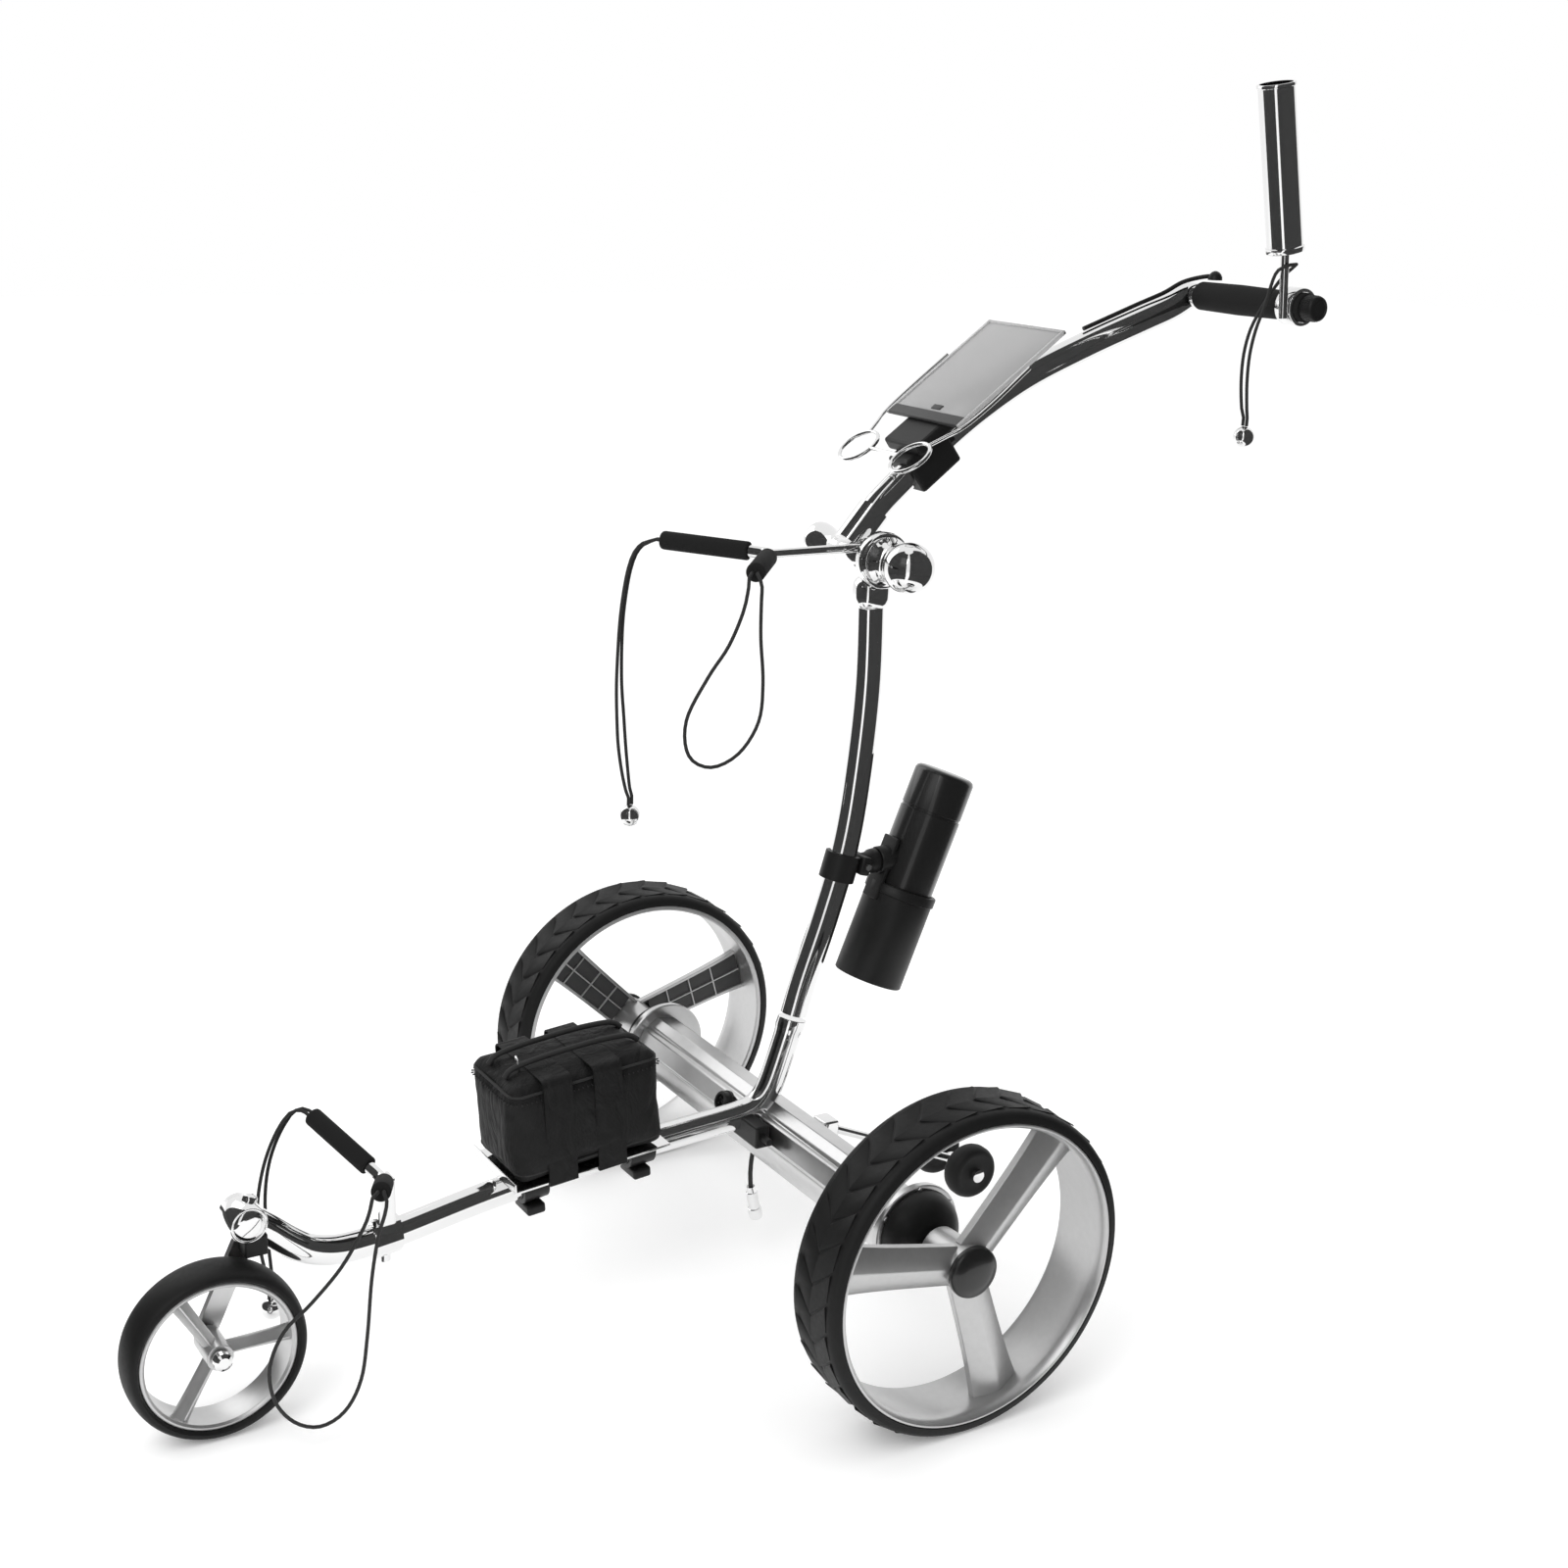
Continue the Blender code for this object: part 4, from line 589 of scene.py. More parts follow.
def makeCords():
    split = cords["split"]
    thick = cords["diameter"]
    radius = cords["ballRadius"]
    for name, free, elbow, tip, body in (
        ("lower", lowerLoop, lowerElbow, lowerTip, "frame"),
        ("upper", upperLoop, upperElbow, upperTip, "upper_support"),
    ):
        points = [*outOfPad(elbow, tip, split), *free, *outOfPad(elbow, tip, -split)[::-1]]
        cordCurve(f"{name}Loop", points, thick, body, f"{name}_loop")
    for name, pair, centre, elbow, tip, body in (
        ("lower", lowerPair, lowerBall, lowerElbow, lowerTip, "frame"),
        ("upper", upperPair, upperBall, upperElbow, upperTip, "upper_support"),
    ):
        weight = pieceFrom(f"{name}CordBall", ball(centre, radius), "chrome", body, [f"{name}_cord_ball"])
        first = [(*p, split) for p in outOfPad(elbow, mirrored(tip))]
        last = [(*p, split) for p in intoBall(centre)]
        for letter, strand in zip("ab", strandsOf([*first, *pair, *last])):
            label = f"{name}Strand{letter.upper()}"
            cordCurve(label, strand, thick, body, f"{name}_strand_{letter}")
    weight = ball(umbrellaBall, radius)
    weight = pieceFrom("umbrellaCordBall", weight, "chrome", "umbrella", ["umbrella_cord_ball"])
    points = [*intoBall(umbrellaBall, split)[::-1], *umbrellaCord, *intoBall(umbrellaBall, -split)]
    cordCurve("umbrellaCord", points, thick, "umbrella", "umbrella_cord")
    end = Vector(cableRoute[-1])
    profile = (
        (gap, 0), (gap, 0.0042), (0.006, 0.0050), (0.0065, 0.0058), (0.024, 0.0058), (0.0245, 0.0068),
        (0.034, 0.0068), (0.036, 0.0060), (0.036, 0),
    )
    shape = turned(profile, end, (0.02, 0.20, -1), 48)
    plug = pieceFrom("cablePlug", shape, "chrome", "frame", ["cable_plug"])
    cordCurve("cable", cableRoute, cords["cable"], "frame", "cable")


makeCords()
print("stage: cords")


# ---- wheels ----

wheel = {
    "radius": 0.150, "width": 0.065, "depth": 0.0105, "middle": 0.298, "lugs": 34, "lugHeight": 0.0006,
    "spokeWidth": 0.042, "spokeRoof": 0.0165, "ribs": (0.044, 0.072, 0.100),
    "turn": {"left": 48, "right": 16},
}
frontWheel = {"radius": 0.078, "width": 0.040, "depth": 0.0105, "spokeWidth": 0.014, "spokeRoof": 0.0125}


def chevron(length, width, height, pitch):
    bm = bmesh.new()
    stations = ((-0.5, -0.35), (0.0, 0.35), (0.5, -0.35))
    rings = []
    for across, lead in stations:
        middle = Vector((0, lead * pitch, across * width))
        ring = []
        for radial, tangent in ((-height, -0.5), (height, -0.42), (height, 0.42), (-height, 0.5)):
            ring.append(bm.verts.new(middle + Vector((radial, tangent * length, 0))))
        rings.append(ring)
    closeRings(bm, rings)
    return bm


# A spoke grows a little towards the rim, and more where it meets it.
def spokeGrow(share):
    return 0.86 + 0.10 * share + 0.16 * share**4


def ridgedSpoke(spoke, reach, roof, start):
    bm = bmesh.new()
    centre, out, radial, tangent, width = spoke
    # From edge to edge over the ridge, then back along the hollow underside.
    section = (
        (-0.5, 0.0010), (-0.5, roof - 0.0085), (-0.44, roof - 0.0070), (-0.04, roof), (0.04, roof),
        (0.44, roof - 0.0070), (0.5, roof - 0.0085), (0.5, 0.0010), (0.42, 0.0010), (0.40, roof - 0.0115),
        (0.0, roof - 0.0045), (-0.40, roof - 0.0115), (-0.42, 0.0010),
    )
    rings = []
    for step in range(9):
        share = step / 8
        r = start + (reach - start) * share
        grow = spokeGrow(share)
        rings.append([
            bm.verts.new(centre + radial * r + tangent * (t * width * grow) + out * a) for t, a in section
        ])
    closeRings(bm, rings)
    return bm


# A strip along the hollow side of a spoke: across is in shares of the spoke's width, rise in metres.
def spokeStrip(spoke, start, end, across, rise):
    bm = bmesh.new()
    centre, out, radial, tangent, width = spoke
    rings = []
    for step in range(5):
        r = start + (end - start) * step / 4
        grow = spokeGrow((r - 0.012) / 0.124)
        corners = ((across[0], rise[0]), (across[1], rise[0]), (across[1], rise[1]), (across[0], rise[1]))
        rings.append([
            bm.verts.new(centre + radial * r + tangent * (t * width * grow) + out * a) for t, a in corners
        ])
    closeRings(bm, rings)
    return bm


def spokesOf(centre, out, width, turn):
    found = []
    for third in range(3):
        angle = radians(turn + 120 * third)
        radial = Vector((0, cos(angle), sin(angle)))
        tangent = Vector((0, -sin(angle), cos(angle)))
        found.append((centre, out, radial, tangent, width))
    return found


def makeRearWheel(side, sign):
    body = f"wheel_{side}"
    centre = Vector((sign * wheel["middle"], 0, wheel["radius"]))
    out = sideways * sign
    half = wheel["width"] / 2
    seat = wheel["radius"] - wheel["depth"]
    top = wheel["radius"] - wheel["lugHeight"]
    tread = (
        (-half, seat), (-half + 0.0006, top - 0.0045), (-half + 0.0035, top - 0.0012), (-half + 0.007, top),
        (half - 0.007, top), (half - 0.0035, top - 0.0012), (half - 0.0006, top - 0.0045), (half, seat),
    )
    tyre = turned(tread, centre, out, 144)
    pieceFrom(f"rearTyre{side}", tyre, "tyreRubber", body, [f"rear_tyre_{side}"])
    pitch = 2 * pi * top / wheel["lugs"]
    lug = chevron(pitch * 0.94, wheel["width"] - 0.019, wheel["lugHeight"], pitch)
    lugs = ringOf(lug, wheel["lugs"], top, "tyreRubber", centre)
    pieceFrom(f"rearTread{side}", lugs, "tyreRubber", body, soften=0.0003)
    rim = seat - gap
    inner = rim - 0.0040
    barrel = (
        (-half + 0.001, rim), (half - 0.001, rim), (half, rim - 0.0008), (half, rim - 0.0024),
        (half - 0.0030, inner - 0.0008), (half - 0.010, inner - 0.0020), (half - 0.020, inner),
        (-half + 0.008, inner), (-half + 0.002, inner - 0.0012), (-half + 0.0005, inner),
    )
    shapes = [turned(barrel, centre, out, 144)]
    backs = []
    hub = (
        (-half + 0.0025, 0.0065), (-half + 0.0025, 0.019), (0.006, 0.021), (0.0165, 0.021), (0.0170, 0.0205),
        (0.0170, 0.0065),
    )
    shapes.append(turned(hub, centre, out, 72))
    ribRise = (0.0010, 0.0034)
    for spoke in spokesOf(centre, out, wheel["spokeWidth"], wheel["turn"][side]):
        shapes.append(ridgedSpoke(spoke, inner + 0.001, wheel["spokeRoof"], 0.012))
        backs.append(spokeStrip(spoke, 0.022, inner - 0.001, (-0.42, 0.42), (0.0030, 0.0044)))
        shapes.append(spokeStrip(spoke, 0.022, inner - 0.001, (-0.018, 0.018), ribRise))
        for station in wheel["ribs"]:
            shapes.append(spokeStrip(spoke, station, station + 0.0014, (-0.43, 0.43), ribRise))
    pieceFrom(f"rearRim{side}", together(shapes), "rimSilver", body, [f"rear_rim_{side}"], 32, 0.0006)
    pieceFrom(f"spokeBacks{side}", together(backs), "spokeBack", body)
    start = 0.0173
    cap = (
        (start, 0), (start, 0.0228), (start + 0.001, 0.0235), (start + 0.0045, 0.0235),
        (start + 0.0068, 0.0226), (start + 0.0080, 0.0205), (start + 0.0082, 0.0195),
        (start + 0.0090, 0.0185), (start + 0.0104, 0.0120), (start + 0.0110, 0.0060), (start + 0.0112, 0),
    )
    pieceFrom(f"hubCap{side}", turned(cap, centre, out), "glossBlack", body, [f"hub_cap_{side}"], 60)


def makeFrontWheel():
    half = frontWheel["width"] / 2
    seat = frontWheel["radius"] - frontWheel["depth"]
    rise = frontWheel["depth"]
    tread = [(-half + 0.003, seat)]
    for i in range(25):
        angle = pi * (1 - i / 24)
        tread.append((half * cos(angle), seat + 0.0025 + (rise - 0.0025) * sin(angle) ** 0.7))
    tread.append((half - 0.003, seat))
    tyre = turned(tread, frontAxle, sideways, 128)
    pieceFrom("frontTyre", tyre, "tyreRubber", "front_wheel", ["front_tyre"], 50)
    rim = seat - gap
    barrel = (
        (-half + 0.0035, rim), (half - 0.0035, rim), (half - 0.0028, rim - 0.0012),
        (half - 0.0028, rim - 0.0026), (half - 0.0048, rim - 0.0046), (half - 0.012, rim - 0.0036),
        (-half + 0.012, rim - 0.0036), (-half + 0.0048, rim - 0.0046), (-half + 0.0028, rim - 0.0018),
    )
    shapes = [turned(barrel, frontAxle, sideways, 128)]
    hub = (
        (-half + 0.001, 0.0048), (-half + 0.001, 0.0115), (half - 0.002, 0.0115), (half - 0.002, 0.0048),
    )
    shapes.append(turned(hub, frontAxle, sideways, 56))
    for spoke in spokesOf(frontAxle, sideways, frontWheel["spokeWidth"], 0):
        shapes.append(ridgedSpoke(spoke, rim - 0.002, frontWheel["spokeRoof"], 0.007))
    pieceFrom("frontRim", together(shapes), "rimSilver", "front_wheel", ["front_rim"], 32, 0.0004)


for side, sign in (("left", 1), ("right", -1)):
    makeRearWheel(side, sign)
makeFrontWheel()
print("stage: wheels")


# ---- frame tubes ----

tube = {"wide": 0.024, "deep": 0.027, "collar": 0.264, "flare": 0.09, "flareLength": 0.016}
barLine = (
    (-0.528, 0.1835), (-0.510, 0.169), (-0.489, 0.1505), (-0.472, 0.139), (-0.450, 0.1325),
    (-0.424, 0.132), (-0.387, 0.136), (-0.303, 0.150), (-0.203, 0.162), (-0.110, 0.1685),
    (-0.062, 0.1715), (-0.040, 0.174), (-0.024, 0.180), (-0.013, 0.193), (-0.004, 0.215), (0.0115, 0.262),
    (0.0225, 0.299), (0.044, 0.360), (0.062, 0.421), (0.073, 0.487), (0.081, 0.581), (0.080, 0.682),
)
handleLine = (
    (0.068, 0.712), (0.094, 0.742), (0.116, 0.762), (0.162, 0.799), (0.207, 0.830),
    (0.262, 0.860), (0.331, 0.887), (0.395, 0.909), (0.430, 0.921), (0.4515, 0.9315),
)


def collarSize(point):
    below = (tube["collar"] - point.z) / tube["flareLength"]
    if point.y < -0.1 or below > 1:
        return 1.0
    return 1.0 + tube["flare"] * min(1.0, 3 * (1 - below))


def makeTubes():
    route = planeRoute(barLine, 0, 0.004)
    split = next(i for i, p in enumerate(route) if p.z > tube["collar"] and p.y > -0.1)
    lower = swept(route[:split], tube["wide"], tube["deep"], scales=collarSize)
    pieceFrom("mainBar", lower, "chrome", "frame", ["main_bar"], 50, 0.0004)
    upper = swept(route[split:], tube["wide"], tube["deep"])
    pieceFrom("uprightTube", upper, "chrome", "frame", ["upright_tube"], 50)
    profile = (
        (-0.0165, 0), (-0.0165, 0.0155), (-0.0155, 0.0165), (0.0150, 0.0165), (0.0165, 0.0155),
        (0.0165, 0.0143), (0.0158, 0.0138), (0.0172, 0.0128), (0.0184, 0.0090), (0.0185, 0),
    )
    boss = ((0, 0), (0, 0.0065), (0.0190, 0.0065), (0.0208, 0.0050), (0.0217, 0.0020), (0.0218, 0))
    shapes = [turned(profile, head, sideways), turned(boss, head, (0, 0.38, 1), 48)]
    pieceFrom("headBarrel", together(shapes), "chrome", "frame", ["head_barrel"], 50, 0.0003)


makeTubes()
print("stage: tubes")


# ---- axle housing and drive ----

housing = {"half": 0.228, "flange": 0.043, "axle": 0.0062, "axleEnd": 0.3135}
housingOutline = (
    (0.022, 0.016), (0.008, 0.029), (-0.010, 0.032), (-0.020, 0.0262), (-0.0215, 0.0232), (-0.0245, 0.0225),
    (-0.0265, 0.0215), (-0.0300, 0.0140), (-0.0335, 0.006), (-0.0318, 0.0030), (-0.0330, -0.0005),
    (-0.031, -0.012), (-0.021, -0.029), (-0.004, -0.034), (0.014, -0.030), (0.025, -0.014), (0.027, 0.002),
)


def makeHousing():
    bm = bmesh.new()
    face = bm.faces.new([bm.verts.new((-housing["half"], y, axle.z + z)) for y, z in housingOutline])
    grown = bmesh.ops.extrude_face_region(bm, geom=[face])
    moved = [v for v in grown["geom"] if isinstance(v, bmesh.types.BMVert)]
    bmesh.ops.translate(bm, verts=moved, vec=(2 * housing["half"], 0, 0))
    pieceFrom("axleHousing", bm, "satinSilver", "frame", ["axle_housing"], 30, 0.0008)


def makeDrive(side, sign):
    out = sideways * sign
    start = housing["half"] + gap
    flange = housing["flange"]
    ring = (
        (start, 0), (start, flange - 0.001), (start + 0.001, flange), (start + 0.0065, flange),
        (start + 0.0075, flange - 0.001), (start + 0.0077, flange - 0.003), (start + 0.0077, 0),
    )
    pieceFrom(f"gearFlange{side}", turned(ring, axle, out), "satinSilver", "frame")
    profile = [(start + 0.0077, 0)]
    for i in range(13):
        turn = pi / 2 * i / 12
        profile.append((start + 0.0080 + 0.0265 * sin(turn), 0.0100 + 0.0290 * cos(turn)))
    profile.append((start + 0.0345, 0))
    cover = turned(profile, axle, out)
    pieceFrom(f"gearCover{side}", cover, "blackPlastic", "frame", [f"gearbox_{side}"], 50)
    shaft = rod(axle + out * (start + 0.034), axle + out * housing["axleEnd"], housing["axle"])
    pieceFrom(f"driveShaft{side}", shaft, "satinSilver", "frame")
    screw = rod((0, 0, -0.0012), (0, 0, 0.0012), 0.0022, 6)
    screws = ringOf(screw, 6, flange - 0.0035, "satinSilver", axle + out * (start + 0.0080))
    pieceFrom(f"gearScrews{side}", screws, "satinSilver", "frame")


socket = {"x": -0.046, "upper": (-0.027, 0.022), "lower": (-0.0335, 0.006), "pinCircle": 0.0032}


# The socket stands on the housing's sloping front face, which runs from its upper to its lower edge.
def makeSocket():
    (y0, z0), (y1, z1) = socket["upper"], socket["lower"]
    normal = Vector((0, z1 - z0, y0 - y1)).normalized()
    foot = axle + Vector((socket["x"], (y0 + y1) / 2, (z0 + z1) / 2)) + normal * gap
    profile = (
        (0, 0), (0, 0.0112), (0.0030, 0.0112), (0.0035, 0.0100), (0.0088, 0.0096), (0.0098, 0.0086),
        (0.0098, 0.0066), (0.0062, 0.0062), (0.0062, 0),
    )
    shapes = [turned(profile, foot, normal, 48)]
    for k in range(3):
        angle = 2 * pi * k / 3
        aside = sideways * cos(angle) + normal.cross(sideways) * sin(angle)
        pin = foot + aside * socket["pinCircle"]
        shapes.append(rod(pin + normal * 0.006, pin + normal * 0.0090, 0.0009, 16))
    pieceFrom("chargeSocket", together(shapes), "blackPlastic", "frame", ["charge_socket"], 40)


makeHousing()
for side, sign in (("left", 1), ("right", -1)):
    makeDrive(side, sign)
makeSocket()
print("stage: housing")


# ---- bag supports ----

support = {"arm": 0.0055, "bore": 0.0058, "wall": 0.0027, "start": 0.021}


def armRoute(elbow, tip):
    other = mirrored(tip)
    far, near = [elbow.lerp(end, 0.16) for end in (other, tip)]
    middle = elbow.lerp((far + near) / 2, 0.4)
    return smoothRoute([other, other.lerp(far, 0.5), far, middle, near, tip.lerp(near, 0.5), tip], 0.003)


def makePad(name, elbow, tip, body, node):
    heading = (tip - elbow).normalized()
    start = elbow + heading * support["start"]
    length = (tip - start).length
    outer = support["bore"] + support["wall"]
    profile = (
        (0, support["bore"]), (0, outer - 0.0010), (0.0004, outer - 0.0003), (0.0014, outer),
        (length + 0.0004, outer), (length + 0.0022, outer - 0.0004), (length + 0.0032, outer - 0.0014),
        (length + cords["padCap"], outer - 0.0028), (length + cords["padCap"], 0), (length + gap, 0),
    )
    pieceFrom(name, turned(profile, start, heading, 56), "foamBlack", body, [node], 50)


def makeSupports():
    lower = bentRod(armRoute(lowerElbow, lowerTip), support["arm"], 28)
    pieceFrom("lowerArms", lower, "chrome", "frame", ["lower_arms"], 50)
    eye = rod((-0.0015, fold.y, fold.z), (0.0095, fold.y, fold.z), 0.0145, 72)
    stalk = rod(upperElbow, (0.004, fold.y - 0.004, fold.z + 0.0105), 0.0042)
    upper = together([bentRod(armRoute(upperElbow, upperTip), support["arm"], 28), stalk, eye])
    pieceFrom("upperArms", upper, "chrome", "upper_support", ["upper_arms"], 50)
    for level, elbow, tip, body in (
        ("lower", lowerElbow, lowerTip, "frame"), ("upper", upperElbow, upperTip, "upper_support"),
    ):
        makePad(f"{level}PadLeft", elbow, tip, body, f"{level}_pad_left")
        makePad(f"{level}PadRight", elbow, mirrored(tip), body, f"{level}_pad_right")


makeSupports()
print("stage: supports")


# ---- fold joint ----

def makeFold():
    centre = (0, fold.y, fold.z)
    cup = block((0.0306, 0.034, 0.034), (0, fold.y, 0.670), edge=0.013)
    flange = (
        (0.0100, 0.0045), (0.0100, 0.0250), (0.0110, 0.0260), (0.0210, 0.0260), (0.0220, 0.0250),
        (0.0220, 0.0045),
    )
    cheeks = together([cup, turned(flange, centre, sideways)])
    pieceFrom("foldSocket", cheeks, "chrome", "frame", ["fold_socket"], 45)
    barrel = (
        (-0.0500, 0.0045), (-0.0500, 0.0135), (-0.0490, 0.0145), (-0.0030, 0.0145), (-0.0020, 0.0135),
        (-0.0020, 0.0045),
    )
    sleeve = swept(planeRoute(handleLine[:2], gripAxis.x, 0.004), 0.029, 0.032)
    joint = together([turned(barrel, centre, sideways), sleeve])
    pieceFrom("foldHead", joint, "chrome", "handle", ["fold_head"], 45)
    tail = -0.0503
    profile = (
        (tail - 0.0440, 0), (tail - 0.0440, 0.0145), (tail - 0.0432, 0.0160), (tail - 0.0410, 0.0178),
        (tail - 0.0385, 0.0180), (tail - 0.0300, 0.0165), (tail - 0.0240, 0.0142), (tail - 0.0180, 0.0125),
        (tail - 0.0120, 0.0113), (tail - 0.0080, 0.0111), (tail - 0.0050, 0.0125), (tail - 0.0030, 0.0135),
        (tail, 0.0135), (tail, 0.0042), (0.0500, 0.0042), (0.0500, 0),
    )
    pieceFrom("foldBolt", turned(profile, centre, sideways), "chrome", "frame", ["fold_bolt"], 50)


knob = {"start": 0.0223, "middle": 0.0590, "radius": 0.0235, "boltEnd": 0.0505, "boltRadius": 0.0045}


def makeKnob():
    start = knob["start"]
    profile = [
        (knob["boltEnd"], 0), (knob["boltEnd"], knob["boltRadius"]), (start, knob["boltRadius"]),
        (start, 0.0205), (start + 0.0010, 0.0218), (start + 0.0040, 0.0225), (start + 0.0065, 0.0205),
        (start + 0.0090, 0.0183), (start + 0.0130, 0.0166),
    ]
    for i in range(33):
        turn = radians(128 - 128 * i / 32)
        profile.append((knob["middle"] + knob["radius"] * cos(turn), knob["radius"] * sin(turn)))
    profile[-1] = (knob["middle"] + knob["radius"], 0)
    pieceFrom("foldKnob", turned(profile, (0, fold.y, fold.z), sideways), "chrome", "knob", ["fold_knob"], 50)


makeFold()
makeKnob()
print("stage: fold joint")


# ---- handle ----

grip = {"radius": 0.0135, "start": -0.0052, "end": 0.139}
dial = {"radius": 0.0118, "flutes": 36}


def makeHandle():
    centre = (0, gripAxis.y, gripAxis.z)
    profile = (
        (-0.0350, 0), (-0.0350, 0.0090), (-0.0340, 0.0108), (-0.0320, 0.0115), (-0.0075, 0.0115),
        (-0.0060, 0.0105), (-0.0055, 0.0090), (-0.0055, 0),
    )
    route = planeRoute(handleLine, gripAxis.x, 0.004)
    tubes = together([swept(route, tube["wide"], tube["deep"]), turned(profile, centre, sideways, 64)])
    pieceFrom("handleTube", tubes, "chrome", "handle", ["handle_tube"], 50)
    radius = grip["radius"]
    start = grip["start"]
    end = grip["end"]
    profile = (
        (start, 0), (start, radius - 0.0020), (start + 0.0008, radius - 0.0006), (start + 0.0022, radius),
        (0.050, radius + 0.0008), (end - 0.035, radius), (end - 0.001, radius), (end, radius - 0.001),
        (end, 0),
    )
    pieceFrom("grip", turned(profile, centre, sideways, 72), "foamBlack", "handle", ["grip"], 50)


def makeDial():
    y = gripAxis.y
    z = gripAxis.z
    start = grip["end"] + gap
    outer = dial["radius"]
    profile = (
        (start, 0), (start, outer - 0.0013), (start + 0.0010, outer - 0.0003), (start + 0.0020, outer),
        (start + 0.0125, outer), (start + 0.0143, outer - 0.0006), (start + 0.0154, outer - 0.0020),
        (start + 0.0155, outer - 0.0033), (start + 0.0148, outer - 0.0038), (start + 0.0148, 0),
    )
    body = turned(profile, (0, y, z), sideways, 72)
    flute = block((0.0006, 0.0006, 0.0085), (0, 0, 0))
    flutes = ringOf(flute, dial["flutes"], outer, "blackPlastic", (start + 0.0073, y, z))
    pieceFrom("speedDial", together([body, flutes]), "blackPlastic", "dial", ["speed_dial"], 40)


# The strap lies on the top of the handle's tube, then climbs over the grip to its dome.
def makeStrap():
    x = gripAxis.x
    lift = Vector((0, -0.33, 0.944)) * (tube["deep"] / 2 + 0.0031)
    overGrip = gripAxis.z + grip["radius"] + 0.0020
    line = [Vector((x, y, z)) + lift for y, z in ((0.331, 0.887), (0.366, 0.899), (0.395, 0.909))]
    line += [
        (x + 0.002, 0.420, overGrip - 0.0137), (x + 0.006, 0.440, overGrip - 0.0032),
        (x + 0.016, 0.456, overGrip + 0.0023), (x + 0.026, 0.463, overGrip + 0.0038),
    ]
    profile = (
        (0, 0), (0, 0.0070), (0.0030, 0.0068), (0.0055, 0.0055), (0.0075, 0.0035), (0.0085, 0.0012),
        (0.0086, 0),
    )
    dome = turned(profile, (0.004, 0.463, overGrip), up, 48)
    strap = together([bentRod(smoothRoute(line, 0.004), 0.0021, 20), dome])
    pieceFrom("handleStrap", strap, "blackPlastic", "handle", ["handle_strap"], 50)


umbrella = {
    "x": 0.128, "foot": (0.4320, 0.9830), "lean": (0, -0.030, 0.146), "radius": 0.0165, "length": 0.149,
}


def makeUmbrellaHolder():
    x = umbrella["x"]
    y = gripAxis.y
    z = gripAxis.z
    outer = 0.0175
    inner = grip["radius"] + 0.0006
    ring = (
        (-0.0140, inner), (-0.0140, outer - 0.001), (-0.0130, outer), (0.0055, outer),
        (0.0065, outer - 0.001), (0.0065, inner),
    )
    foot = Vector((x, *umbrella["foot"]))
    lean = Vector(umbrella["lean"]).normalized()
    stem = rod((x, y - outer - 0.001, z - 0.010), foot + lean * 0.001, 0.0040)
    radius = umbrella["radius"]
    length = umbrella["length"]
    lip = radius + 0.0012
    # Up the inside from the floor, over the top lip, then down past the foot's lip.
    profile = (
        (0.003, 0), (0.003, radius - 0.0015), (length, radius - 0.0015), (length, lip - 0.0005),
        (length - 0.0006, lip), (length - 0.0028, lip), (length - 0.0036, radius), (0.0056, radius),
        (0.0048, lip), (0.0006, lip), (0, lip - 0.0006), (0, 0),
    )
    shapes = [turned(ring, (x, y, z), sideways), stem, turned(profile, foot, lean)]
    pieceFrom("umbrellaHolder", together(shapes), "chrome", "umbrella", ["umbrella_holder"], 50)


makeHandle()
makeDial()
makeStrap()
makeUmbrellaHolder()
print("stage: handle")


# ---- card holder ----

cardHolder = {
    "width": 0.117, "length": 0.142, "thick": 0.004, "drop": 0.0012, "tilt": radians(35.8),
    "ring": 0.020, "ringSide": 0.042, "ringPlace": -0.049, "wire": 0.002,
}


def onCard(x, along, rise):
    return card + Matrix.Rotation(cardHolder["tilt"], 4, "X") @ Vector((x, along, rise))


def cardBlock(size, x, along, rise, edge):
    return block(size, onCard(x, along, rise), cardHolder["tilt"], edge)


def makeCardPlate():
    length = cardHolder["length"]
    width = cardHolder["width"]
    thick = cardHolder["thick"]
    rise = -cardHolder["drop"]
    sheet = cardBlock((width - 0.004, length - 0.002, 0.0018), 0, length / 2, rise, 0.0004)
    pieceFrom("cardSheet", sheet, "clearGrey", "card_lid", ["card_plate"], 40)
    rails = [cardBlock((0.0044, length, thick), x, length / 2, rise, 0.0012)
             for x in (0.0022 - width / 2, width / 2 - 0.0022)]
    rails.append(cardBlock((width, 0.004, thick), 0, length - 0.0020, rise, 0.0012))
    pieceFrom("cardRails", together(rails), "clearEdge", "card_lid")
    strip = cardBlock((width - 0.006, 0.012, thick + 0.0002), 0, 0.0062, rise, 0.0012)
    tab = cardBlock((0.014, 0.006, 0.0030), 0.004, 0.0180, rise + 0.0004, 0.0008)
    pieceFrom("cardClip", together([strip, tab]), "spokeBack", "card_lid")


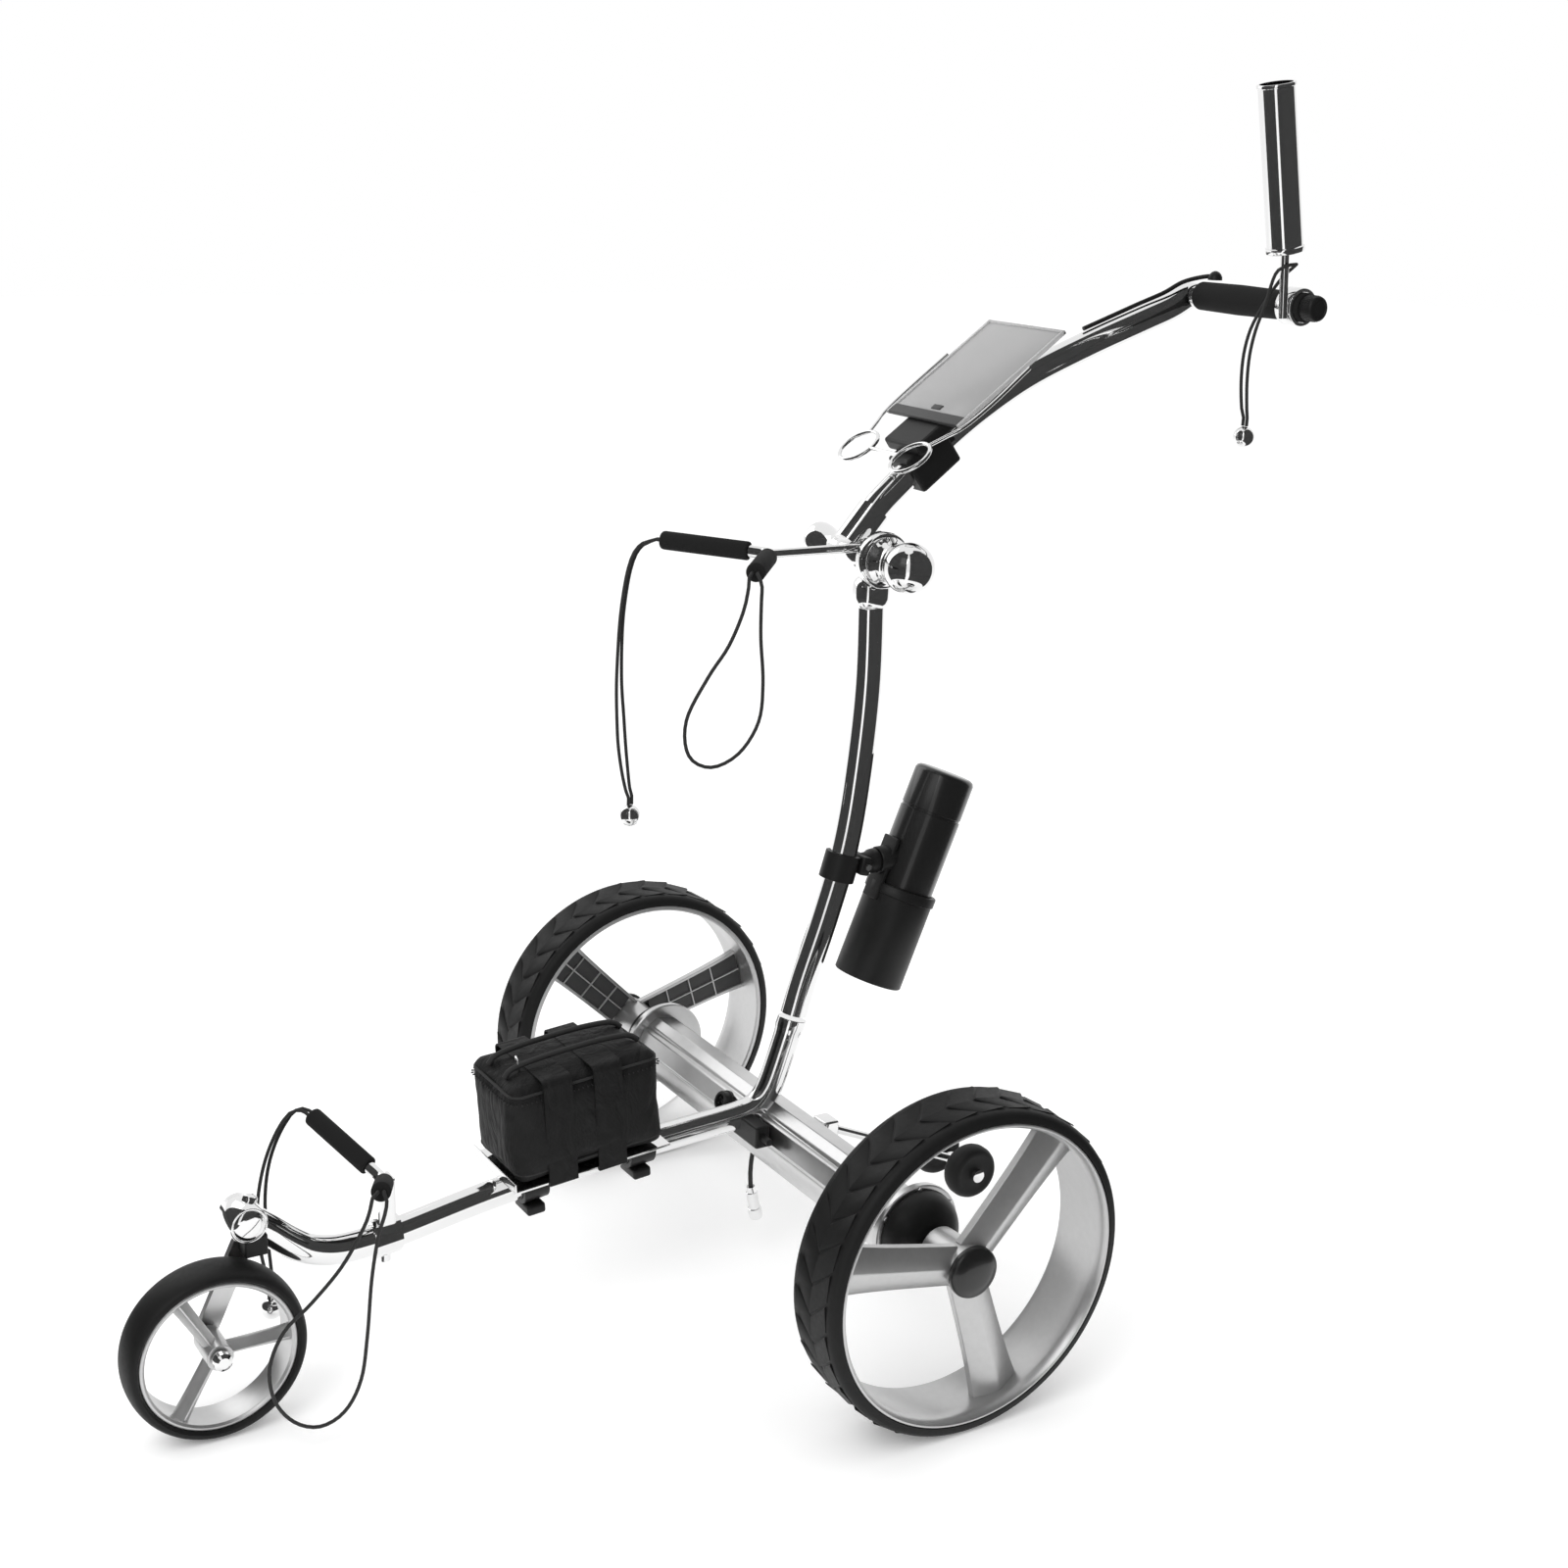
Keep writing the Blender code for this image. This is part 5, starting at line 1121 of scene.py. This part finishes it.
# Two rings joined by a bar, with a wire from each running up beside the plate.
def makeCardRings():
    wire = cardHolder["wire"]
    ring = cardHolder["ring"]
    reach = cardHolder["ringPlace"]
    side = cardHolder["ringSide"]
    normal = onCard(0, 0, 1) - card
    section = [(wire * sin(2 * pi * k / 16), ring + wire * cos(2 * pi * k / 16)) for k in range(16)]
    shapes = [turned(section, onCard(x, reach, 0), normal, 72) for x in (-side, side)]
    shapes.append(rod(onCard(-0.0225, reach, 0), onCard(0.0225, reach, 0), wire, 16))
    for sign in (-1, 1):
        line = [onCard(sign * x, along, rise) for x, along, rise in (
            (0.048, reach + ring - 0.0015, 0), (0.0545, -0.016, -0.001), (0.0630, 0.004, -0.002),
            (0.0655, 0.040, -0.002), (0.0640, 0.088, -0.001),
        )]
        shapes.append(bentRod(smoothRoute(line, 0.004), wire * 0.9, 16))
    pieceFrom("cardRings", together(shapes), "chrome", "handle", ["card_rings"], 60)


makeCardPlate()
makeCardRings()
print("stage: card holder")


# ---- bottle and its holder ----

bottle = {
    "radius": 0.0300, "length": 0.211, "cup": 0.095, "wall": 0.0030, "foot": (0, 0.096, 0.288),
    "lean": (0, 0.377, 0.926), "clampHeight": 0.408, "clampPlace": 0.0583, "clampHalf": 0.013,
}


def makeBottleClamp():
    centre = Vector((0, bottle["clampPlace"], bottle["clampHeight"]))
    tangent = Vector((0, 0.018, 0.061)).normalized()
    route = [centre + tangent * (bottle["clampHalf"] * share) for share in (-1, -0.5, 0, 0.5, 1)]
    lug = (
        (0.0165, 0), (0.0165, 0.0080), (0.0220, 0.0095), (0.0300, 0.0095), (0.0340, 0.0115),
        (0.0390, 0.0120), (0.0412, 0.0110), (0.0417, 0.0095), (0.0417, 0),
    )
    shapes = [
        band(route, tube["wide"] + 2 * gap, tube["deep"] + 2 * gap, 0.0037),
        turned(lug, centre, (0, 1, 0), 56),
        block((0.030, 0.012, 0.018), centre + Vector((0, 0.0215, 0)), -0.28, 0.003),
    ]
    pieceFrom("bottleClamp", together(shapes), "blackPlastic", "frame", ["bottle_clamp"], 40, 0.0005)
    screw = rod(centre + Vector((0.0148, 0.0220, 0)), centre + Vector((0.0172, 0.0220, 0)), 0.0034, 6)
    pieceFrom("bottleClampScrew", screw, "satinSilver", "frame")


def makeBottle():
    foot = Vector(bottle["foot"])
    lean = Vector(bottle["lean"]).normalized()
    radius = bottle["radius"]
    base = 0.0033
    top = base + bottle["length"]
    profile = (
        (base, 0), (base, radius - 0.0030), (base + 0.0009, radius - 0.0009), (base + 0.0030, radius),
        (top - 0.0430, radius), (top - 0.0425, radius - 0.0010), (top - 0.0405, radius - 0.0010),
        (top - 0.0400, radius - 0.0002), (top - 0.0050, radius - 0.0004), (top - 0.0020, radius - 0.0018),
        (top - 0.0006, radius - 0.0040), (top, radius - 0.0065), (top, 0),
    )
    pieceFrom("flask", turned(profile, foot, lean), "glossBlack", "flask", ["bottle"], 50)
    inner = radius + 2 * gap
    outer = inner + bottle["wall"]
    high = bottle["cup"]
    cup = (
        (0, 0), (0, outer - 0.0010), (0.0010, outer), (high - 0.0100, outer),
        (high - 0.0092, outer + 0.0015), (high - 0.0008, outer + 0.0015), (high, outer + 0.0008),
        (high, inner), (0.003, inner), (0.003, 0),
    )
    side = Vector((0, -lean.z, lean.y))
    place = foot + lean * 0.108 + side * (inner + 0.0022)
    tongue = block((0.022, 0.0044, 0.062), place, -atan2(lean.y, lean.z), 0.0012)
    disc = turned(
        ((0.1003, 0), (0.1003, 0.0122), (0.1011, 0.0130), (0.1190, 0.0130), (0.1215, 0.0115), (0.1215, 0)),
        (0, 0, bottle["clampHeight"]), (0, 1, 0), 64,
    )
    holder = together([turned(cup, foot, lean), tongue, disc])
    pieceFrom("bottleCup", holder, "blackPlastic", "bottle_holder", ["bottle_cup"], 45)


makeBottleClamp()
makeBottle()
print("stage: bottle")


# ---- anti-tip wheels ----

antiTip = {"centre": (0.030, 0.189, 0.087), "block": (0.030, 0.0353, 0.152), "track": 0.030, "half": 0.011,
           "radius": 0.027}


def makeAntiTip():
    centre = Vector(antiTip["centre"])
    foot = Vector(antiTip["block"])
    shapes = [block((0.022, 0.016, 0.026), foot, edge=0.002)]
    shapes.append(rod(foot + up * 0.004, centre, 0.0042))
    axleProfile = (
        (-0.0465, 0), (-0.0465, 0.0055), (-0.0458, 0.0065), (-0.0425, 0.0065), (-0.0425, 0.004),
        (0.0425, 0.004), (0.0425, 0.0065), (0.0458, 0.0065), (0.0465, 0.0055), (0.0465, 0),
    )
    shapes.append(turned(axleProfile, centre, sideways, 40))
    shapes.append(rod(centre - sideways * 0.012, centre + sideways * 0.012, 0.0070))
    pieceFrom("antiTipRod", together(shapes), "chrome", "frame", ["anti_tip_rod"], 45)
    half = antiTip["half"]
    radius = antiTip["radius"]
    edge = (
        (half, 0.0043), (half - 0.0012, 0.010), (half - 0.0012, 0.018), (half, radius - 0.006),
        (half - 0.0015, radius - 0.0030), (half - 0.004, radius - 0.0012), (half * 0.3, radius),
    )
    profile = [*[(-along, rise) for along, rise in edge], *edge[::-1]]
    for side, sign in (("left", 1), ("right", -1)):
        roller = turned(profile, centre + sideways * (sign * antiTip["track"]), sideways, 72)
        node = f"anti_tip_wheel_{side}"
        pieceFrom(f"antiTipWheel{side}", roller, "tyreRubber", f"caster_{side}", [node], 50)


makeAntiTip()
print("stage: anti-tip")


# ---- battery bag ----

bag = {
    "size": (0.098, 0.151, 0.098), "foot": (0, -0.2215, 0.1785), "slope": 5.0, "cell": 0.005,
    "pressure": 14.0, "frames": 20, "reach": 0.0027, "strap": 0.028, "strapThick": 0.0016,
}
bagPlace = Matrix.Translation(bag["foot"]) @ Matrix.Rotation(radians(bag["slope"]), 4, "X")


def bagPoint(along, rise, x=0.0):
    return bagPlace @ Vector((x, along, rise))


def blowUp(made):
    mesh = made.data
    cloth = made.modifiers.new("cloth", "CLOTH")
    settings = cloth.settings
    settings.use_pressure = True
    settings.uniform_pressure_force = bag["pressure"]
    settings.effector_weights.gravity = 0
    settings.tension_stiffness = 25
    settings.compression_stiffness = 25
    settings.shear_stiffness = 12
    settings.bending_stiffness = 2
    cloth.point_cache.frame_start = 1
    cloth.point_cache.frame_end = bag["frames"]
    scene = bpy.context.scene
    for number in range(1, bag["frames"] + 1):
        scene.frame_set(number)
    graph = bpy.context.evaluated_depsgraph_get()
    blown = bpy.data.meshes.new_from_object(made.evaluated_get(graph))
    made.modifiers.remove(cloth)
    scene.frame_set(1)
    for vertex, moved in zip(mesh.vertices, blown.vertices):
        shift = moved.co - vertex.co
        if shift.length > bag["reach"]:
            shift = shift.normalized() * bag["reach"]
        vertex.co += shift
    bpy.data.meshes.remove(blown)


# The cover starts a little small and is blown up like a cushion, each point by no more than the reach.
def softBox():
    wide, long, high = bag["size"]
    start = block((wide - 0.005, long - 0.005, high - 0.004), (0, 0, high / 2), edge=0.008)
    source = objectOf("bagSource", start)
    remesh = source.modifiers.new("cells", "REMESH")
    remesh.mode = "VOXEL"
    remesh.voxel_size = bag["cell"]
    graph = bpy.context.evaluated_depsgraph_get()
    mesh = bpy.data.meshes.new_from_object(source.evaluated_get(graph))
    bpy.data.objects.remove(source)
    made = plainObject("bagCloth", mesh)
    blowUp(made)
    smooth = made.modifiers.new("subdivision", "SUBSURF")
    smooth.levels = 1
    smooth.render_levels = 1
    graph = bpy.context.evaluated_depsgraph_get()
    final = bpy.data.meshes.new_from_object(made.evaluated_get(graph))
    bpy.data.objects.remove(made)
    bm = bmesh.new()
    bm.from_mesh(final)
    bpy.data.meshes.remove(final)
    bmesh.ops.transform(bm, matrix=bagPlace, verts=bm.verts)
    return bm


def edgeLoop(rise, inset):
    wide, long, _ = bag["size"]
    corner = 0.012
    w = wide / 2 - inset - corner
    h = long / 2 - inset - corner
    points = []
    for x, along, start in ((w, h, 0), (-w, h, 90), (-w, -h, 180), (w, -h, 270)):
        for i in range(7):
            turn = radians(start + 15 * i)
            points.append(bagPoint(along + corner * sin(turn), rise, x + corner * cos(turn)))
    return [*points, points[0]]


def makeTray():
    wide = bag["size"][0] - 0.006
    long = bag["size"][1] + 0.004
    slope = radians(bag["slope"])
    plate = block((wide, long, 0.0025), bagPoint(0, -0.00155), slope, 0.0006)
    lip = block((wide, 0.0016, 0.009), bagPoint(-long / 2 + 0.0008, 0.0030), slope, 0.0005)
    pieceFrom("batteryTray", together([plate, lip]), "chrome", "frame", ["battery_tray"], 40)
    route = planeRoute(barLine, 0, 0.004)
    clamps = []
    for along in (-0.042, 0.066):
        middle = bagPoint(along, 0).y
        part = [p for p in route if abs(p.y - middle) < 0.014 and p.z < 0.2]
        clamps.append(band(part, tube["wide"] + 2 * gap, tube["deep"] + 2 * gap, 0.0045))
        bottom = min(p.z for p in part)
        clamps.append(block((0.030, 0.018, 0.010), (0, middle, bottom - 0.0215), slope, 0.0025))
    pieceFrom("trayClamps", together(clamps), "blackPlastic", "frame", soften=0.0006)


# A strap runs from under the tray, up one side, over the bag and down the other side.
def strapShape(along):
    side = bag["size"][0] / 2 + gap
    low = -0.0039
    corner = 0.006
    middle = side + 0.0009 - corner
    top = bag["size"][2] + 0.0006 - corner
    path = [Vector((-0.022, 0, low)), Vector((0.002 - side, 0, low))]
    for x, begin in ((-middle, 180), (middle, 90)):
        for i in range(7):
            turn = radians(begin - 15 * i)
            path.append(Vector((x + corner * cos(turn), 0, top + corner * sin(turn))))
    path += [Vector((side - 0.002, 0, low)), Vector((0.022, 0, low))]
    bm = bmesh.new()
    rings = []
    for i, point in enumerate(path):
        step = headingAt(path, i)
        normal = Vector((-step.z, 0, step.x)) * (bag["strapThick"] / 2)
        corners = [(point + n, a) for n, a in ((normal, -1), (normal, 1), (-normal, 1), (-normal, -1))]
        rings.append([bm.verts.new(bagPoint(along + a * bag["strap"] / 2, p.z, p.x)) for p, a in corners])
    closeRings(bm, rings)
    return bm


def makeBag():
    cover = pieceFrom("batteryBag", softBox(), "nylonBlack", "frame", ["battery_bag"], 80)
    trims = [bentRod(edgeLoop(rise, 0.0035), 0.0013, 12) for rise in (0.012, bag["size"][2] - 0.010)]
    pieceFrom("bagPiping", together(trims), "cordBlack", "frame")
    top = bag["size"][2]
    stitch = block((0.0026, 0.0012, 0.0008), (0, 0, 0))
    stitches = alongPath(stitch, edgeLoop(top - 0.016, 0.0014), 0.0045, "cordBlack")
    pieceFrom("bagStitches", stitches, "cordBlack", "frame")
    for name, x in (("Near", 0.016), ("Far", -0.018)):
        line = [bagPoint(along, top + rise, x) for along, rise in (
            (-0.066, -0.002), (-0.058, 0.0045), (-0.034, 0.0075), (0.0, 0.0085), (0.030, 0.0080),
            (0.056, 0.0050), (0.066, -0.002),
        )]
        handle = bentRod(smoothRoute(line, 0.004), 0.0026, 14)
        pieceFrom(f"bagHandle{name}", handle, "cordBlack", "frame")
    for name, along in (("Front", -0.031), ("Rear", 0.018)):
        node = f"strap_{name.lower()}"
        pieceFrom(f"strap{name}", strapShape(along), "nylonBlack", "frame", [node], 40)
    ring = turned(
        [(0.0011 * sin(2 * pi * k / 12), 0.0075 + 0.0011 * cos(2 * pi * k / 12)) for k in range(12)],
        bagPoint(-0.050, top + 0.004, 0.010), (0.3, 1, 0.2), 40,
    )
    pieceFrom("bagPull", ring, "chrome", "frame")


makeTray()
makeBag()
print("stage: bag")


# ---- nodes shown as they are ----

plainNodes = {
    "fork_crown": "blackPlastic", "fork_leg": "satinSilver", "front_axle": "chrome",
    "saddle_block": "blackPlastic", "lower_bracket": "chrome", "card_clamp": "blackPlastic",
}
for nodeName, look in plainNodes.items():
    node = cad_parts[nodeName]
    node.data.materials.clear()
    node.data.materials.append(materials[look])


# ---- floor and light ----

studio = {
    "floor": 0.95, "glow": 0.12, "world": 1.0, "wallTone": 0.034, "walls": ((-112, -11), (5, 116)),
    "wallShape": ((0.75, 0.02), (1.65, 0.05), (1.90, 0.60), (2.20, 2.20), (1.70, 3.10), (0.70, 3.50)),
    "lookAt": (0, 0, 0.4),
    "lights": (("key", (1.2, -2.2, 2.6), 1.8, 34), ("fill", (-2.2, -1.0, 2.0), 2.0, 12)),
}


def area(name, place, size, power):
    data = bpy.data.lights.new(name, "AREA")
    data.shape = "SQUARE"
    data.size = size
    data.energy = power
    made = bpy.data.objects.new(name, data)
    made.location = place
    made.rotation_euler = (Vector(studio["lookAt"]) - Vector(place)).to_track_quat("-Z", "Y").to_euler()
    bpy.context.scene.collection.objects.link(made)


def plainSurface(name, value, rough):
    made = bpy.data.materials.new(name)
    made.use_nodes = True
    shader = made.node_tree.nodes["Principled BSDF"]
    shader.inputs["Base Color"].default_value = (value, value, value, 1)
    shader.inputs["Roughness"].default_value = rough
    return made


# Two dark walls, seen only in mirror-like surfaces, stand each side of the direction the camera looks from.
def darkWalls():
    bm = bmesh.new()
    facing = cameraView["azimuth"] - 90
    for low, high in studio["walls"]:
        columns = []
        for i in range(17):
            angle = radians(facing + low + (high - low) * i / 16)
            side = Vector((cos(angle), sin(angle), 0))
            columns.append([bm.verts.new(side * reach + up * z) for reach, z in studio["wallShape"]])
        for a, b in zip(columns, columns[1:]):
            for k in range(len(a) - 1):
                bm.faces.new((a[k], b[k], b[k + 1], a[k + 1]))
    return bm


def makeStudio():
    bm = bmesh.new()
    bmesh.ops.create_grid(bm, x_segments=1, y_segments=1, size=12)
    floor = objectOf("floor", bm)
    floor.data.materials.append(plainSurface("floorPaint", studio["floor"], 0.9))
    glow = floor.data.materials[0].node_tree.nodes["Principled BSDF"]
    glow.inputs["Emission Color"].default_value = (1, 1, 1, 1)
    glow.inputs["Emission Strength"].default_value = studio["glow"]
    wall = objectOf("darkWall", darkWalls())
    wall.data.materials.append(plainSurface("darkPaint", studio["wallTone"], 0.9))
    wall.visible_camera = False
    wall.visible_diffuse = False
    wall.visible_shadow = False
    wall.visible_transmission = False
    world = bpy.data.worlds.new("world")
    world.use_nodes = True
    world.node_tree.nodes["Background"].inputs["Color"].default_value = (1, 1, 1, 1)
    world.node_tree.nodes["Background"].inputs["Strength"].default_value = studio["world"]
    bpy.context.scene.world = world
    for light in studio["lights"]:
        area(*light)
    bpy.context.scene.view_settings.view_transform = "Standard"


makeStudio()
print("stage: studio")
